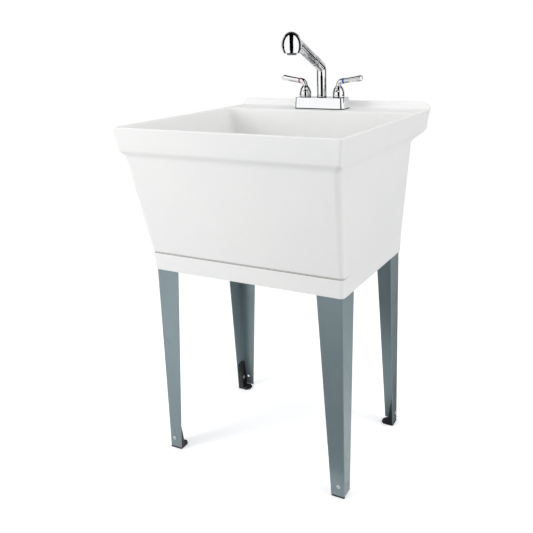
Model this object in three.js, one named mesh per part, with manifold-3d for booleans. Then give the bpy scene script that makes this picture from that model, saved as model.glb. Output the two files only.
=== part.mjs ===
// Utility laundry sink: a moulded tub on four angle-steel legs, with a pull-out spray faucet.
// Millimetres, +Z up, +X to the right of someone facing the sink, -Y towards them.
// The origin is on the floor, under the middle of the tub's rim.

import * as THREE from 'three';
import { mergeVertices } from 'three/addons/utils/BufferGeometryUtils.js';
import Module from 'manifold-3d';

const wasm = await Module();
wasm.setup();

// ---- Driving dimensions ----

// The gap between pieces that touch or slide on each other.
const clearance = 0.3;

// Tub: rim, band, deck and backsplash
const rimWidth = 581;
const rimDepth = 590;
const rimHeight = 868;
const rimCornerRadius = 8;
const rimEdge = 3;
const bandHeight = 58;
const bandSideDraft = 7.5;
const bandEndDraft = 7;
const bandStep = 4;
const lipWidth = 10.5;
const lipEdge = 2.5;
const deckDepth = 112;
const backsplashHeight = 18;
const backsplashDepth = 18;
const backsplashSlope = 8;
const backsplashEndRadius = 17;
const smallestRadius = 2;

// Tub: body, skirt and basin
const wall = 5;
const bodyTopSideInset = 11;
const bodyTopFrontInset = 16.5;
const bodyTopRadius = 20;
const skirtTopSideInset = 31.5;
const skirtTopFrontInset = 71;
const skirtSideInset = 33;
const skirtFrontInset = 74.5;
const skirtRearInset = 135;
const skirtRadius = 10;
const skirtHeight = 46;
const skirtWall = 3.8;
const grooveHeight = 3;
const grooveDepth = 1.6;
const basinDepth = 330;
const basinFall = 3;
const basinFloorRadius = 26;
// How far the skirt reaches below the basin's floor.
const skirtReach = 33;

// Tub: ribs under the deck
const ribThickness = 4;
const ribHeight = 26;
const ribPlaces = [-205, -115, 115, 205];

// Drain
const drainFlangeRadius = 40;
const drainFlangeThickness = 2;
const drainFlangeEdge = 0.8;
const drainMouth = 4;
const drainRestMargin = 2;
const drainThroatRadius = 22;
const drainThroatWall = 3;
const drainThroatLength = 52;
const drainBossDepth = 6;
const drainGasketThickness = 3;
const drainLocknutHeight = 8;
const drainLocknutRadius = 34;
const strainerBar = 3;
const strainerDepth = 16;
const tailpieceRadius = 19;
const tailpieceWall = 1.4;
const tailpieceLength = 36;
const tailpieceFlange = 2;
const tailpieceNutRadius = 29;
const tailpieceNutHeight = 18;
const stopperLipRadius = 23;
const stopperLipThickness = 3;
const stopperPlugDepth = 12;
const stopperKnobRadius = 8;
const stopperKnobHeight = 14;
const stopperEdge = 1.5;

// Screw heads
const screwHeadEdge = 0.8;

// Legs
const legSheet = 1.8;
const legTopFlange = 64;
const legBottomFlange = 34;
const legCornerRadius = 3;
const socketWall = 3;
const socketRecess = 3;
const legScrewRadius = 2;
const legScrewHeadRadius = 4;
const legScrewHeadHeight = 2.5;
const legScrewInset = 38;
const legScrewDrop = 13;
const legScrewBite = 2;

// Feet
const footPad = 5;
const footPadRise = 3;
const footDepth = 36;
const footTravel = 20;
const footPlate = 3;
const footHeight = 83;
const footTopRadius = 9;
const footSideDepth = 12;
const footSideTopDepth = 4;
const footSideStraight = 55;
const footChamfer = 7;
const footLip = 4;
const footScrewHeight = 30;
const footScrewInset = 14.5;
const footScrewRadius = 2.5;
const footScrewHeadRadius = 5;
const footScrewHeadHeight = 2.4;
const footNutRadius = 5;
const footNutHeight = 3.2;
const spareHoleInset = 17;
const spareHoleRadius = 3.4;

// Faucet: heights are counted from the top of the deck
const faucetInset = 68.5;
const faucetCentres = 101.6;
const deckGasket = 1.4;
const deckGasketInset = 0.5;
const baseWidth = 150;
const baseDepth = 54;
const baseHeight = 29;
const baseTaper = 2;
const baseRadius = 9;
const baseEdge = 1.5;
const baseWall = 2.5;

// Faucet: waterway, cartridges and fixings
const waterwayWidth = 124;
const waterwayDepth = 28;
const waterwayHeight = 16;
const towerRadius = 13;
const towerHeight = 22;
const shankRadius = 10.4;
const shankBore = 6;
const shankLength = 53;
const stemRadius = 10;
const stemBore = 7.4;
const stemHeight = 60;
const stemDrop = 28;
const nippleRadius = 5;
const nippleBore = 3;
const nippleDrop = 20;
const nippleOffset = 26;
const deckHoleClearance = 3.5;
const mountingNutRadius = 20;
const mountingNutHeight = 12;
const cartridgeRadius = 8.7;
const cartridgeSeat = 8;
const bonnetRadius = 8;
const bonnetRise = 6;
const spindleRadius = 4;
const spindleHeight = 56;

// Faucet: handles
const hubRadius = 16.6;
// The hub's bell: shares of the radius at heights over the hub's foot.
const hubBell = [[0.79, 0], [0.87, 2], [1, 9], [0.98, 13], [0.9, 17.5], [0.74, 22], [0.55, 26.5]];
const hubHeight = 31;
const hubCavityRadius = 11;
const neckRadius = 7.2;
const neckReach = 13.5;
const neckHeight = 75.5;
const leverLift = 8.5;
const leverLength = 59;
const leverRootRadius = 6.7;
const leverTipRadius = 7.8;
const leverTipLength = 6;
const indexRingWidth = 3.6;
const leverStubRadius = 4.8;
const leverStubLength = 14;
const handleScrewRadius = 2;
const handleScrewRise = 14;
const handleScrewLength = 11;

// Faucet: spout
const spoutRadius = 13.6;
const spoutWall = 1.6;
const spoutRise = 101.5;
const spoutBend = 18;
const spoutTurn = 65;
const spoutReach = 28.7;
const bushingSeat = 3;
const bushingLength = 16;
const dockSeat = 2;
const dockLength = 19;

// Faucet: spray wand
const wandRadius = 13.4;
const wandCollarRadius = 13.9;
const wandCollarLength = 10;
const wandCollarEdge = 1;
const wandLength = 122;
const wandBore = 5;
const fluteCount = 10;
const fluteDepth = 1.2;
const fluteWidth = 3;
const plugRadius = 10;
const plugLength = 22;
const headRadius = 25.4;
const headReach = 171.5;
const headBottomRadius = 20;
const headBottom = 154;
const headMiddle = 173;
const headTop = 207;
const headCrown = 20;
const headEdge = 1.5;
const sprayFaceRadius = 16;
const sprayFaceDepth = 8;
const sprayFaceDrop = 4.5;
const sprayNozzleRadius = 12;
const sprayFaceEdge = 1.5;
const connectorRadius = 6.2;
const connectorBore = 3.5;
const connectorLength = 12;

// ---- Derived places ----

const rimFront = -rimDepth / 2;
const rimRear = rimDepth / 2;
const basinRear = rimRear - deckDepth;
const bandBottom = rimHeight - bandHeight;
const bodyTop = bandBottom - bandStep;
const deckUnderside = rimHeight - wall;
const basinFloor = rimHeight - basinDepth;
const skirtBottomHeight = basinFloor - skirtReach;
const skirtTop = skirtBottomHeight + skirtHeight;
const basinLow = basinFloor - basinFall;
const floorUnderside = basinLow - wall;

const skirtFoot = {
  half: rimWidth / 2 - skirtSideInset,
  front: rimFront + skirtFrontInset,
  rear: rimRear - skirtRearInset,
  radius: skirtRadius,
};
const bodyHead = {
  half: rimWidth / 2 - bodyTopSideInset,
  front: rimFront + bodyTopFrontInset,
  rear: basinRear,
  radius: bodyTopRadius,
};
const skirtHead = {
  half: rimWidth / 2 - skirtTopSideInset,
  front: rimFront + skirtTopFrontInset,
  rear: between(skirtFoot.rear, bodyHead.rear, skirtHeight / (bodyTop - skirtBottomHeight)),
  radius: between(skirtFoot.radius, bodyHead.radius, skirtHeight / (bodyTop - skirtBottomHeight)),
};

const drainY = (skirtFoot.front + skirtFoot.rear) / 2;
const drainSeat = basinLow - drainFlangeThickness - clearance;
const flangeTop = drainSeat + clearance + drainFlangeThickness;
const throatBore = drainThroatRadius - drainThroatWall;
const throatBottom = flangeTop - drainThroatLength;
const bossBottom = floorUnderside - drainBossDepth;
const gasketBottom = bossBottom - clearance - drainGasketThickness;
const washerBottom = throatBottom - clearance - tailpieceFlange;
const tailpieceTop = washerBottom - clearance;
const tailpieceBore = tailpieceRadius - tailpieceWall;

const legHalf = skirtFoot.half - skirtWall - clearance;
const legFront = skirtFoot.front + skirtWall + clearance;
const legRear = skirtFoot.rear - skirtWall - clearance;
const legTop = floorUnderside - clearance;
const legScrewHeight = floorUnderside - legScrewDrop;
const socketGap = legSheet + 2 * clearance;

const faucetY = rimRear - faucetInset;
const shankX = faucetCentres / 2;
const baseBottom = deckGasket + 2 * clearance;
const baseTop = baseBottom + baseHeight;
const spoutFoot = baseTop + clearance;
const spoutBore = spoutRadius - spoutWall;

// ---- Materials ----

function material(color, roughness, metalness) {
  return new THREE.MeshStandardMaterial({ color, roughness, metalness });
}

const whitePlastic = material(0xf2f1ee, 0.45, 0);
const greySteel = material(0x93a5aa, 0.42, 0.35);
const blackPlastic = material(0x26262a, 0.6, 0);
const zincSteel = material(0xc4c8ca, 0.35, 0.9);
const chrome = material(0xe6e8ea, 0.08, 1);
const greyPlastic = material(0x8f9296, 0.5, 0);
const whiteNylon = material(0xe4e2dc, 0.5, 0);
const brass = material(0xc2a25a, 0.3, 0.9);
const blackRubber = material(0x1c1c1e, 0.8, 0);
const redRing = material(0xd03a34, 0.35, 0);
const blueRing = material(0x2450b8, 0.35, 0);

// ---- Numbers and outlines ----

function between(a, b, share) {
  return a + (b - a) * share;
}

function radians(degrees) {
  return THREE.MathUtils.degToRad(degrees);
}

// A rounded rectangle as [x, y] points, counter-clockwise.
function roundedRectangle(x0, x1, y0, y1, radius, steps = 4) {
  const corners = [
    [x1 - radius, y0 + radius, -90],
    [x1 - radius, y1 - radius, 0],
    [x0 + radius, y1 - radius, 90],
    [x0 + radius, y0 + radius, 180],
  ];
  const outline = [];
  for (const [x, y, start] of corners) {
    for (let step = 0; step <= steps; step += 1) {
      const angle = radians(start + (90 * step) / steps);
      outline.push([x + radius * Math.cos(angle), y + radius * Math.sin(angle)]);
    }
  }
  return outline;
}

function shapeOf(outline) {
  return new THREE.Shape(outline.map(([x, y]) => new THREE.Vector2(x, y)));
}

function circle(radius, sides) {
  const outline = [];
  for (let side = 0; side < sides; side += 1) {
    const angle = (2 * Math.PI * side) / sides;
    outline.push([radius * Math.cos(angle), radius * Math.sin(angle)]);
  }
  return outline;
}

// ---- Solids: each function returns a closed BufferGeometry ----

function block(x0, x1, y0, y1, z0, z1) {
  const geometry = new THREE.BoxGeometry(x1 - x0, y1 - y0, z1 - z0);
  return geometry.translate((x0 + x1) / 2, (y0 + y1) / 2, (z0 + z1) / 2);
}

// A profile of [radius, height] points turned about +Z. It runs counter-clockwise, seen with the
// radius to the right, and starts and ends on the axis or closes on itself.
function turned(profile, sides = 16) {
  const points = profile.map(([radius, height]) => new THREE.Vector2(radius, height));
  return new THREE.LatheGeometry(points, sides).rotateX(Math.PI / 2);
}

// The points of a dome's profile, from its edge to just before the top.
function dome(radius, edge, top, steps) {
  const profile = [];
  for (let step = 0; step < steps; step += 1) {
    const angle = (Math.PI / 2) * (step / steps);
    profile.push([radius * Math.cos(angle), between(edge, top, Math.sin(angle))]);
  }
  return profile;
}

function rod(radius, z0, z1, sides = 16) {
  return turned([[0, z0], [radius, z0], [radius, z1], [0, z1]], sides);
}

function ring(inner, outer, z0, z1, sides = 16) {
  return turned([[inner, z0], [outer, z0], [outer, z1], [inner, z1], [inner, z0]], sides);
}

// An outline pushed up from z0 to z1.
function prism(outline, z0, z1) {
  const settings = { depth: z1 - z0, bevelEnabled: false };
  return new THREE.ExtrudeGeometry(shapeOf(outline), settings).translate(0, 0, z0);
}

// An [x, z] outline pushed along +Y from y0 to y1.
function panel(outline, y0, y1) {
  return prism(outline, -y1, -y0).rotateX(Math.PI / 2);
}

function tube(path, radius, sides, steps) {
  const settings = { steps, extrudePath: path, bevelEnabled: false };
  return new THREE.ExtrudeGeometry(shapeOf(circle(radius, sides)), settings);
}

// A solid through outlines of equal point counts, from the lowest to the highest.
function loft(sections) {
  const count = sections[0].outline.length;
  const positions = [];
  for (const { outline, z } of sections) {
    for (const [x, y] of outline) {
      positions.push(x, y, z);
    }
  }
  const index = [];
  for (let level = 0; level < sections.length - 1; level += 1) {
    for (let side = 0; side < count; side += 1) {
      const a = level * count + side;
      const b = level * count + ((side + 1) % count);
      index.push(a, b, b + count, a, b + count, a + count);
    }
  }
  const contour = sections[0].outline.map(([x, y]) => new THREE.Vector2(x, y));
  const last = (sections.length - 1) * count;
  for (const [a, b, c] of THREE.ShapeUtils.triangulateShape(contour, [])) {
    index.push(c, b, a, last + a, last + b, last + c);
  }
  const geometry = new THREE.BufferGeometry();
  geometry.setAttribute('position', new THREE.Float32BufferAttribute(positions, 3));
  geometry.setIndex(index);
  return geometry;
}

// A copy of a solid under a matrix. A mirroring matrix also turns the faces round.
function transformed(geometry, matrix) {
  const copy = geometry.clone().applyMatrix4(matrix);
  if (matrix.determinant() < 0) {
    const corners = copy.index.array;
    for (let corner = 0; corner < corners.length; corner += 3) {
      [corners[corner], corners[corner + 1]] = [corners[corner + 1], corners[corner]];
    }
  }
  return copy;
}

// ---- Cutting and joining ----

function toSolid(geometry) {
  const bare = geometry.clone();
  bare.deleteAttribute('normal');
  bare.deleteAttribute('uv');
  const merged = mergeVertices(bare);
  return new wasm.Manifold(new wasm.Mesh({
    numProp: 3,
    vertProperties: new Float32Array(merged.attributes.position.array),
    triVerts: new Uint32Array(merged.index.array),
  }));
}

function toGeometry(solid) {
  const { vertProperties, triVerts } = solid.getMesh();
  const geometry = new THREE.BufferGeometry();
  geometry.setAttribute('position', new THREE.BufferAttribute(vertProperties, 3));
  geometry.setIndex(new THREE.BufferAttribute(triVerts, 1));
  geometry.computeVertexNormals();
  return geometry;
}

function join(...geometries) {
  return toGeometry(geometries.map(toSolid).reduce((whole, piece) => whole.add(piece)));
}

function cut(geometry, ...tools) {
  return toGeometry(tools.map(toSolid).reduce((whole, tool) => whole.subtract(tool), toSolid(geometry)));
}

function common(first, second) {
  return toGeometry(toSolid(first).intersect(toSolid(second)));
}

// ---- Tub ----

// The tub body's outside at a height, between the skirt's foot, the skirt's head and the band.
function bodyAt(z) {
  const inSkirt = z <= skirtTop;
  const low = inSkirt ? skirtFoot : skirtHead;
  const high = inSkirt ? skirtHead : bodyHead;
  const share = inSkirt ? (z - skirtBottomHeight) / skirtHeight : (z - skirtTop) / (bodyTop - skirtTop);
  return {
    half: between(low.half, high.half, share),
    front: between(low.front, high.front, share),
    rear: between(low.rear, high.rear, share),
    radius: between(low.radius, high.radius, share),
  };
}

function sectionOf(body, inset, z) {
  const radius = Math.max(body.radius - inset, smallestRadius);
  const { half, front, rear } = body;
  return { outline: roundedRectangle(inset - half, half - inset, front + inset, rear - inset, radius), z };
}

function rimSection(sideInset, endInset, z) {
  const half = rimWidth / 2 - sideInset;
  const radius = Math.max(rimCornerRadius - sideInset / 2, smallestRadius);
  return { outline: roundedRectangle(-half, half, rimFront + endInset, rimRear - endInset, radius), z };
}

function tubOutside() {
  const body = loft([
    sectionOf(skirtFoot, 0, skirtBottomHeight),
    sectionOf(skirtHead, 0, skirtTop),
    sectionOf(bodyHead, 0, bodyTop),
    sectionOf(bodyHead, 0, deckUnderside),
  ]);
  const band = loft([
    rimSection(2 * bandSideDraft, 2 * bandEndDraft, bodyTop),
    rimSection(bandSideDraft, bandEndDraft, bandBottom),
    rimSection(0, 0, rimHeight - rimEdge),
    rimSection(rimEdge, rimEdge, rimHeight),
  ]);
  return join(body, band, backsplash());
}

function backsplash() {
  const half = rimWidth / 2;
  const top = rimHeight + backsplashHeight;
  const foot = rimHeight - rimEdge;
  const front = rimRear - backsplashDepth;
  const profile = panel(
    [
      [-rimRear, foot],
      [-front, foot],
      [-front, rimHeight],
      [-front - backsplashSlope, top - rimEdge],
      [-front - backsplashSlope - rimEdge, top],
      [rimEdge - rimRear, top],
      [-rimRear, top - rimEdge],
    ],
    -half,
    half,
  ).rotateZ(-Math.PI / 2);
  const ends = panel(
    roundedRectangle(-half, half, foot - 2 * backsplashEndRadius, top, backsplashEndRadius),
    front - rimEdge,
    rimRear + rimEdge,
  );
  return common(profile, ends);
}

// The space inside the basin, open at the rim.
function basinSpace() {
  const mouth = {
    half: rimWidth / 2 - lipWidth,
    front: rimFront + lipWidth,
    rear: basinRear,
    radius: bodyTopRadius,
  };
  const floorBody = bodyAt(basinFloor);
  const middle = bodyAt(basinFloor + basinFloorRadius);
  const rest = drainFlangeRadius + drainRestMargin;
  const drainRest = { half: rest, front: drainY - rest, rear: drainY + rest, radius: drainFlangeRadius };
  const arcMiddle = basinFloorRadius * (1 - Math.SQRT1_2);
  return loft([
    sectionOf(drainRest, 0, basinLow),
    sectionOf(floorBody, wall + basinFloorRadius, basinFloor),
    sectionOf(floorBody, wall + arcMiddle, basinFloor + arcMiddle),
    sectionOf(middle, wall, basinFloor + basinFloorRadius),
    sectionOf(bodyHead, wall, bandBottom),
    sectionOf(mouth, 0, rimHeight - lipEdge),
    sectionOf(mouth, -lipEdge, rimHeight),
    sectionOf(mouth, -lipEdge, rimHeight + lipEdge),
  ]);
}

// The space under the deck, between the basin's rear wall and the band.
function deckSpace() {
  const low = rimWidth / 2 - bandSideDraft - wall;
  const high = rimWidth / 2 - wall;
  const lowOutline = roundedRectangle(-low, low, basinRear, rimRear - bandEndDraft - wall, wall);
  const highOutline = roundedRectangle(-high, high, basinRear + wall, rimRear - wall, wall);
  const space = loft([
    { outline: lowOutline, z: bodyTop - bandStep },
    { outline: lowOutline, z: bandBottom },
    { outline: highOutline, z: deckUnderside },
  ]);
  const ribs = ribPlaces.map((x) => block(
    x - ribThickness / 2,
    x + ribThickness / 2,
    basinRear - wall,
    rimRear,
    deckUnderside - ribHeight,
    deckUnderside + wall,
  ));
  return cut(space, ...ribs);
}

// The wall that closes a leg's socket on the inside, in the frame of one corner.
function socketFence() {
  const reach = legTopFlange + socketWall;
  const outer = block(0, reach, 0, reach, skirtBottomHeight + socketRecess, floorUnderside + wall / 2);
  const inside = socketGap + socketWall - clearance;
  const core = block(inside, 2 * reach, inside, 2 * reach, skirtBottomHeight, rimHeight);
  const sheet = cut(
    block(-wall, reach, -wall, reach, 0, floorUnderside),
    block(socketGap - clearance, 2 * reach, socketGap - clearance, 2 * reach, 0, rimHeight),
  );
  return cut(outer, core, sheet);
}

// The space inside the skirt, with the sockets' walls left standing.
function skirtSpace() {
  const inner = { ...skirtFoot, radius: legCornerRadius + skirtWall };
  const space = loft([
    sectionOf(inner, skirtWall, skirtBottomHeight - wall),
    sectionOf(inner, skirtWall, floorUnderside),
  ]);
  const fences = corners.map((corner) => transformed(socketFence(), corner.matrix));
  return cut(space, ...fences);
}

// A shallow line round the front, where the skirt meets the body.
function frontGroove() {
  const z0 = skirtTop - grooveHeight / 2;
  const z1 = skirtTop + grooveHeight / 2;
  const outside = loft([sectionOf(bodyAt(z0), -wall, z0), sectionOf(bodyAt(z1), -wall, z1)]);
  const core = loft([
    sectionOf(bodyAt(z0), grooveDepth, z0 - grooveHeight),
    sectionOf(bodyAt(z1), grooveDepth, z1 + grooveHeight),
  ]);
  const behindCorner = block(-rimWidth, rimWidth, skirtHead.front + skirtHead.radius, rimRear, 0, rimHeight);
  return cut(outside, core, behindCorner);
}

// The deck's openings for the two shanks, the spout's stem and the hose nipple.
function deckHoles() {
  const z0 = deckUnderside - wall;
  const z1 = rimHeight + wall;
  const shankHole = rod(shankRadius + deckHoleClearance, z0, z1);
  const stemHole = rod(stemRadius + deckHoleClearance, z0, z1);
  const nippleHole = rod(nippleRadius + deckHoleClearance, z0, z1);
  const bridge = nippleRadius + deckHoleClearance;
  return [
    shankHole.clone().translate(-shankX, faucetY, 0),
    shankHole.clone().translate(shankX, faucetY, 0),
    stemHole.translate(0, faucetY, 0),
    nippleHole.translate(nippleOffset, faucetY, 0),
    block(0, nippleOffset, faucetY - bridge, faucetY + bridge, z0, z1),
  ];
}

function legScrewHole(corner) {
  const hole = rod(legScrewRadius + clearance, -legScrewBite, socketGap + socketWall + wall, 12);
  return transformed(legScrewPlace(hole), corner.matrix);
}

function tub() {
  const boss = rod(drainFlangeRadius + wall, floorUnderside - drainBossDepth, floorUnderside + wall / 2, 24)
    .translate(0, drainY, 0);
  const shell = cut(tubOutside(), basinSpace(), deckSpace(), skirtSpace(), frontGroove());
  const recess = rod(drainFlangeRadius + 2 * clearance, drainSeat, basinFloor + wall, 24)
    .translate(0, drainY, 0);
  const throatHole = rod(drainThroatRadius + 2 * clearance, skirtBottomHeight, basinFloor, 24)
    .translate(0, drainY, 0);
  const screwHoles = corners.map(legScrewHole);
  return cut(join(shell, boss), recess, throatHole, ...deckHoles(), ...screwHoles);
}

// ---- Drain, turned about its own axis ----

function drainFlange() {
  const seat = drainSeat + clearance;
  const body = turned([
    [throatBore, throatBottom],
    [drainThroatRadius, throatBottom],
    [drainThroatRadius, seat],
    [drainFlangeRadius, seat],
    [drainFlangeRadius, flangeTop - drainFlangeEdge],
    [drainFlangeRadius - 2 * drainFlangeEdge, flangeTop],
    [throatBore + drainMouth / 2, flangeTop - drainFlangeEdge],
    [throatBore, flangeTop - drainMouth],
    [throatBore, throatBottom],
  ], 24);
  const reach = throatBore + drainThroatWall / 2;
  const top = flangeTop - strainerDepth;
  const half = strainerBar / 2;
  const alongX = block(-reach, reach, -half, half, top - strainerBar, top);
  const alongY = block(-half, half, -reach, reach, top - strainerBar, top);
  return join(body, alongX, alongY);
}

function drainGasket() {
  return ring(drainThroatRadius + clearance, drainFlangeRadius, gasketBottom, bossBottom - clearance, 24);
}

function drainLocknut() {
  const top = gasketBottom - clearance;
  const nut = rod(drainLocknutRadius, top - drainLocknutHeight, top, 8);
  return cut(nut, rod(drainThroatRadius + clearance, throatBottom, top + wall, 24));
}

function tailpieceWasher() {
  return ring(tailpieceBore, drainThroatRadius - clearance, washerBottom, throatBottom - clearance);
}

function tailpiece() {
  const flangeBottom = tailpieceTop - tailpieceFlange;
  const bottom = tailpieceTop - tailpieceLength;
  return turned([
    [tailpieceBore, bottom],
    [tailpieceRadius, bottom],
    [tailpieceRadius, flangeBottom],
    [drainThroatRadius - clearance, flangeBottom],
    [drainThroatRadius - clearance, tailpieceTop],
    [tailpieceBore, tailpieceTop],
    [tailpieceBore, bottom],
  ]);
}

function tailpieceNut() {
  const lipTop = tailpieceTop - tailpieceFlange - clearance;
  const bottom = lipTop - tailpieceFlange;
  const top = bottom + tailpieceNutHeight;
  const hexagon = rod(tailpieceNutRadius, bottom, top, 6);
  const threadBore = rod(drainThroatRadius + clearance, lipTop, top + wall, 24);
  const tubeBore = rod(tailpieceRadius + clearance, bottom - wall, top);
  return cut(hexagon, threadBore, tubeBore);
}

function drainStopper() {
  const lip = flangeTop + clearance;
  const lipTop = lip + stopperLipThickness;
  const knobTop = lipTop + stopperKnobHeight;
  const plug = throatBore - 2 * clearance;
  return turned([
    [0, lip - stopperPlugDepth],
    [plug - stopperEdge, lip - stopperPlugDepth],
    [plug, lip - stopperPlugDepth + stopperEdge],
    [plug, lip],
    [stopperLipRadius, lip],
    [stopperLipRadius, lipTop - stopperEdge],
    [stopperLipRadius - stopperEdge, lipTop],
    [stopperKnobRadius / 2, lipTop],
    [stopperKnobRadius / 2, knobTop - 3 * stopperEdge],
    [stopperKnobRadius, knobTop - 2 * stopperEdge],
    [stopperKnobRadius, knobTop - stopperEdge],
    [stopperKnobRadius - stopperEdge, knobTop],
    [0, knobTop],
  ]);
}

// ---- Legs and feet, in the frame of one corner ----
// There the leg's outer corner is the origin, and its flanges run along +X and +Y.

function cornerFrame(sideX, sideY) {
  const y = sideY < 0 ? legFront : legRear;
  const matrix = new THREE.Matrix4().makeScale(-sideX, -sideY, 1);
  return matrix.setPosition(sideX * legHalf, y, 0);
}

// A foot hangs on the front flange of a front leg and on the side flange of a rear leg.
function footFrame(sideX, sideY) {
  const matrix = cornerFrame(sideX, sideY);
  const swapFlanges = new THREE.Matrix4().set(0, 1, 0, 0, 1, 0, 0, 0, 0, 0, 1, 0, 0, 0, 0, 1);
  return sideY < 0 ? matrix : matrix.multiply(swapFlanges);
}

const corners = [
  { name: 'front_left', matrix: cornerFrame(-1, -1), footMatrix: footFrame(-1, -1) },
  { name: 'front_right', matrix: cornerFrame(1, -1), footMatrix: footFrame(1, -1) },
  { name: 'rear_left', matrix: cornerFrame(-1, 1), footMatrix: footFrame(-1, 1) },
  { name: 'rear_right', matrix: cornerFrame(1, 1), footMatrix: footFrame(1, 1) },
];

function angleOutline(flange) {
  const outline = [];
  const steps = 3;
  for (let step = 0; step <= steps; step += 1) {
    const angle = radians(180 + (90 * step) / steps);
    const reach = legCornerRadius;
    outline.push([reach + reach * Math.cos(angle), reach + reach * Math.sin(angle)]);
  }
  outline.push([flange, 0], [flange, legSheet]);
  outline.push([legSheet, legSheet]);
  outline.push([legSheet, flange], [0, flange]);
  return outline;
}

// Turns a rod along +Z into one along the flange normal that points into the corner, +Y.
function footScrewPlace(geometry) {
  return geometry.rotateX(-Math.PI / 2).translate(footScrewInset, 0, footScrewHeight);
}

function legScrewPlace(geometry) {
  return geometry.rotateY(Math.PI / 2).translate(0, legScrewInset, legScrewHeight);
}

function legSolid() {
  const flangeAtTop = between(
    legBottomFlange,
    legTopFlange,
    (legTop - footPad) / (skirtBottomHeight - footPad),
  );
  const angle = loft([
    { outline: angleOutline(legBottomFlange), z: footPad },
    { outline: angleOutline(flangeAtTop), z: legTop },
  ]);
  const topScrewHole = legScrewPlace(rod(legScrewRadius + clearance, -wall, wall, 12));
  return cut(angle, topScrewHole);
}

// The leg's two foot holes: one takes the foot's screw, the other stays empty.
function footHoles() {
  const screwHole = footScrewPlace(rod(footScrewRadius + clearance, -wall, wall, 12));
  const spareHole = rod(spareHoleRadius, -wall, wall, 12)
    .rotateY(Math.PI / 2)
    .translate(0, spareHoleInset, footScrewHeight);
  return join(screwHole, spareHole);
}

function leg(corner) {
  return cut(
    transformed(legSolid(), corner.matrix),
    transformed(footHoles(), corner.footMatrix),
  );
}

function footSolid() {
  const inner = legSheet + clearance;
  const plateBack = inner + footPlate;
  const end = legBottomFlange - clearance;
  const padTop = footPad - clearance;
  const floorPlate = prism([
    [0, 0],
    [end, 0],
    [end, footDepth - footChamfer],
    [end - footChamfer, footDepth],
    [footLip + footChamfer, footDepth],
    [footLip, footDepth - footChamfer],
    [footLip, 2 * footLip],
    [0, footLip],
  ], 0, padTop);
  const raisedPad = block(inner + footLip, end, inner, footDepth - footChamfer, 0, padTop + footPadRise);
  const upright = panel(
    roundedRectangle(inner, end, 0, footHeight, footTopRadius),
    inner,
    plateBack,
  );
  const sideTop = footHeight - footTopRadius;
  const sideBack = plateBack + footSideDepth;
  const side = prism([
    [0, plateBack - clearance],
    [sideTop, plateBack - clearance],
    [sideTop, plateBack + footSideTopDepth],
    [footSideStraight, sideBack],
    [0, sideBack],
  ], 0, footPlate).rotateY(-Math.PI / 2);
  const body = join(
    floorPlate,
    raisedPad,
    upright,
    side.clone().translate(inner + footPlate, 0, 0),
    side.translate(end, 0, 0),
  );
  const flangeSlit = block(-wall, end + wall, 0, inner, padTop, footHeight);
  const half = footScrewRadius + 2 * clearance;
  const slot = panel(
    roundedRectangle(
      footScrewInset - half,
      footScrewInset + half,
      footScrewHeight - half,
      footScrewHeight + footTravel + half,
      half - clearance,
    ),
    0,
    plateBack + wall,
  );
  return cut(body, flangeSlit, slot);
}

function footScrewSolid() {
  const end = legSheet + footPlate + footNutHeight + 3 * clearance;
  return footScrewPlace(turned([
    [0, -clearance - footScrewHeadHeight],
    [footScrewHeadRadius - 2 * screwHeadEdge, -clearance - footScrewHeadHeight],
    [footScrewHeadRadius, -clearance - screwHeadEdge],
    [footScrewHeadRadius, -clearance],
    [footScrewRadius, -clearance],
    [footScrewRadius, end],
    [0, end],
  ]));
}

function footNutSolid() {
  const start = legSheet + footPlate + 2 * clearance;
  const hexagon = rod(footNutRadius, start, start + footNutHeight, 6);
  const bore = rod(footScrewRadius + clearance, 0, start + 2 * footNutHeight);
  return footScrewPlace(cut(hexagon, bore));
}

// The head bears on the socket's wall, and the tip ends inside the skirt's wall.
function legScrewSolid() {
  const headSeat = socketGap + socketWall;
  return legScrewPlace(turned([
    [0, clearance - legScrewBite],
    [legScrewRadius, clearance - legScrewBite],
    [legScrewRadius, headSeat],
    [legScrewHeadRadius, headSeat],
    [legScrewHeadRadius, headSeat + legScrewHeadHeight - screwHeadEdge],
    [legScrewHeadRadius - 2 * screwHeadEdge, headSeat + legScrewHeadHeight],
    [0, headSeat + legScrewHeadHeight],
  ], 12));
}

// ---- Faucet, in the frame of its own group: the origin is on the deck, on the spout's axis ----

function baseOutline(inset) {
  const half = baseWidth / 2 - inset;
  const depth = baseDepth / 2 - inset;
  return roundedRectangle(-half, half, -depth, depth, baseRadius - inset);
}

function faucetBase() {
  const outside = loft([
    { outline: baseOutline(0), z: baseBottom },
    { outline: baseOutline(baseTaper), z: baseTop - baseEdge },
    { outline: baseOutline(baseTaper + baseEdge), z: baseTop },
  ]);
  const inside = loft([
    { outline: baseOutline(baseWall), z: baseBottom - wall },
    { outline: baseOutline(baseWall + baseTaper), z: baseTop - baseWall },
  ]);
  const bonnetHole = rod(bonnetRadius + 2 * clearance, 0, baseTop + wall);
  return cut(
    outside,
    inside,
    rod(stemRadius + 2 * clearance, 0, baseTop + wall),
    bonnetHole.clone().translate(-shankX, 0, 0),
    bonnetHole.translate(shankX, 0, 0),
  );
}

function deckGasketSolid() {
  const sheet = prism(baseOutline(deckGasketInset), clearance, clearance + deckGasket);
  return cut(sheet, prism(baseOutline(3 * baseWall), -wall, wall));
}

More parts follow.
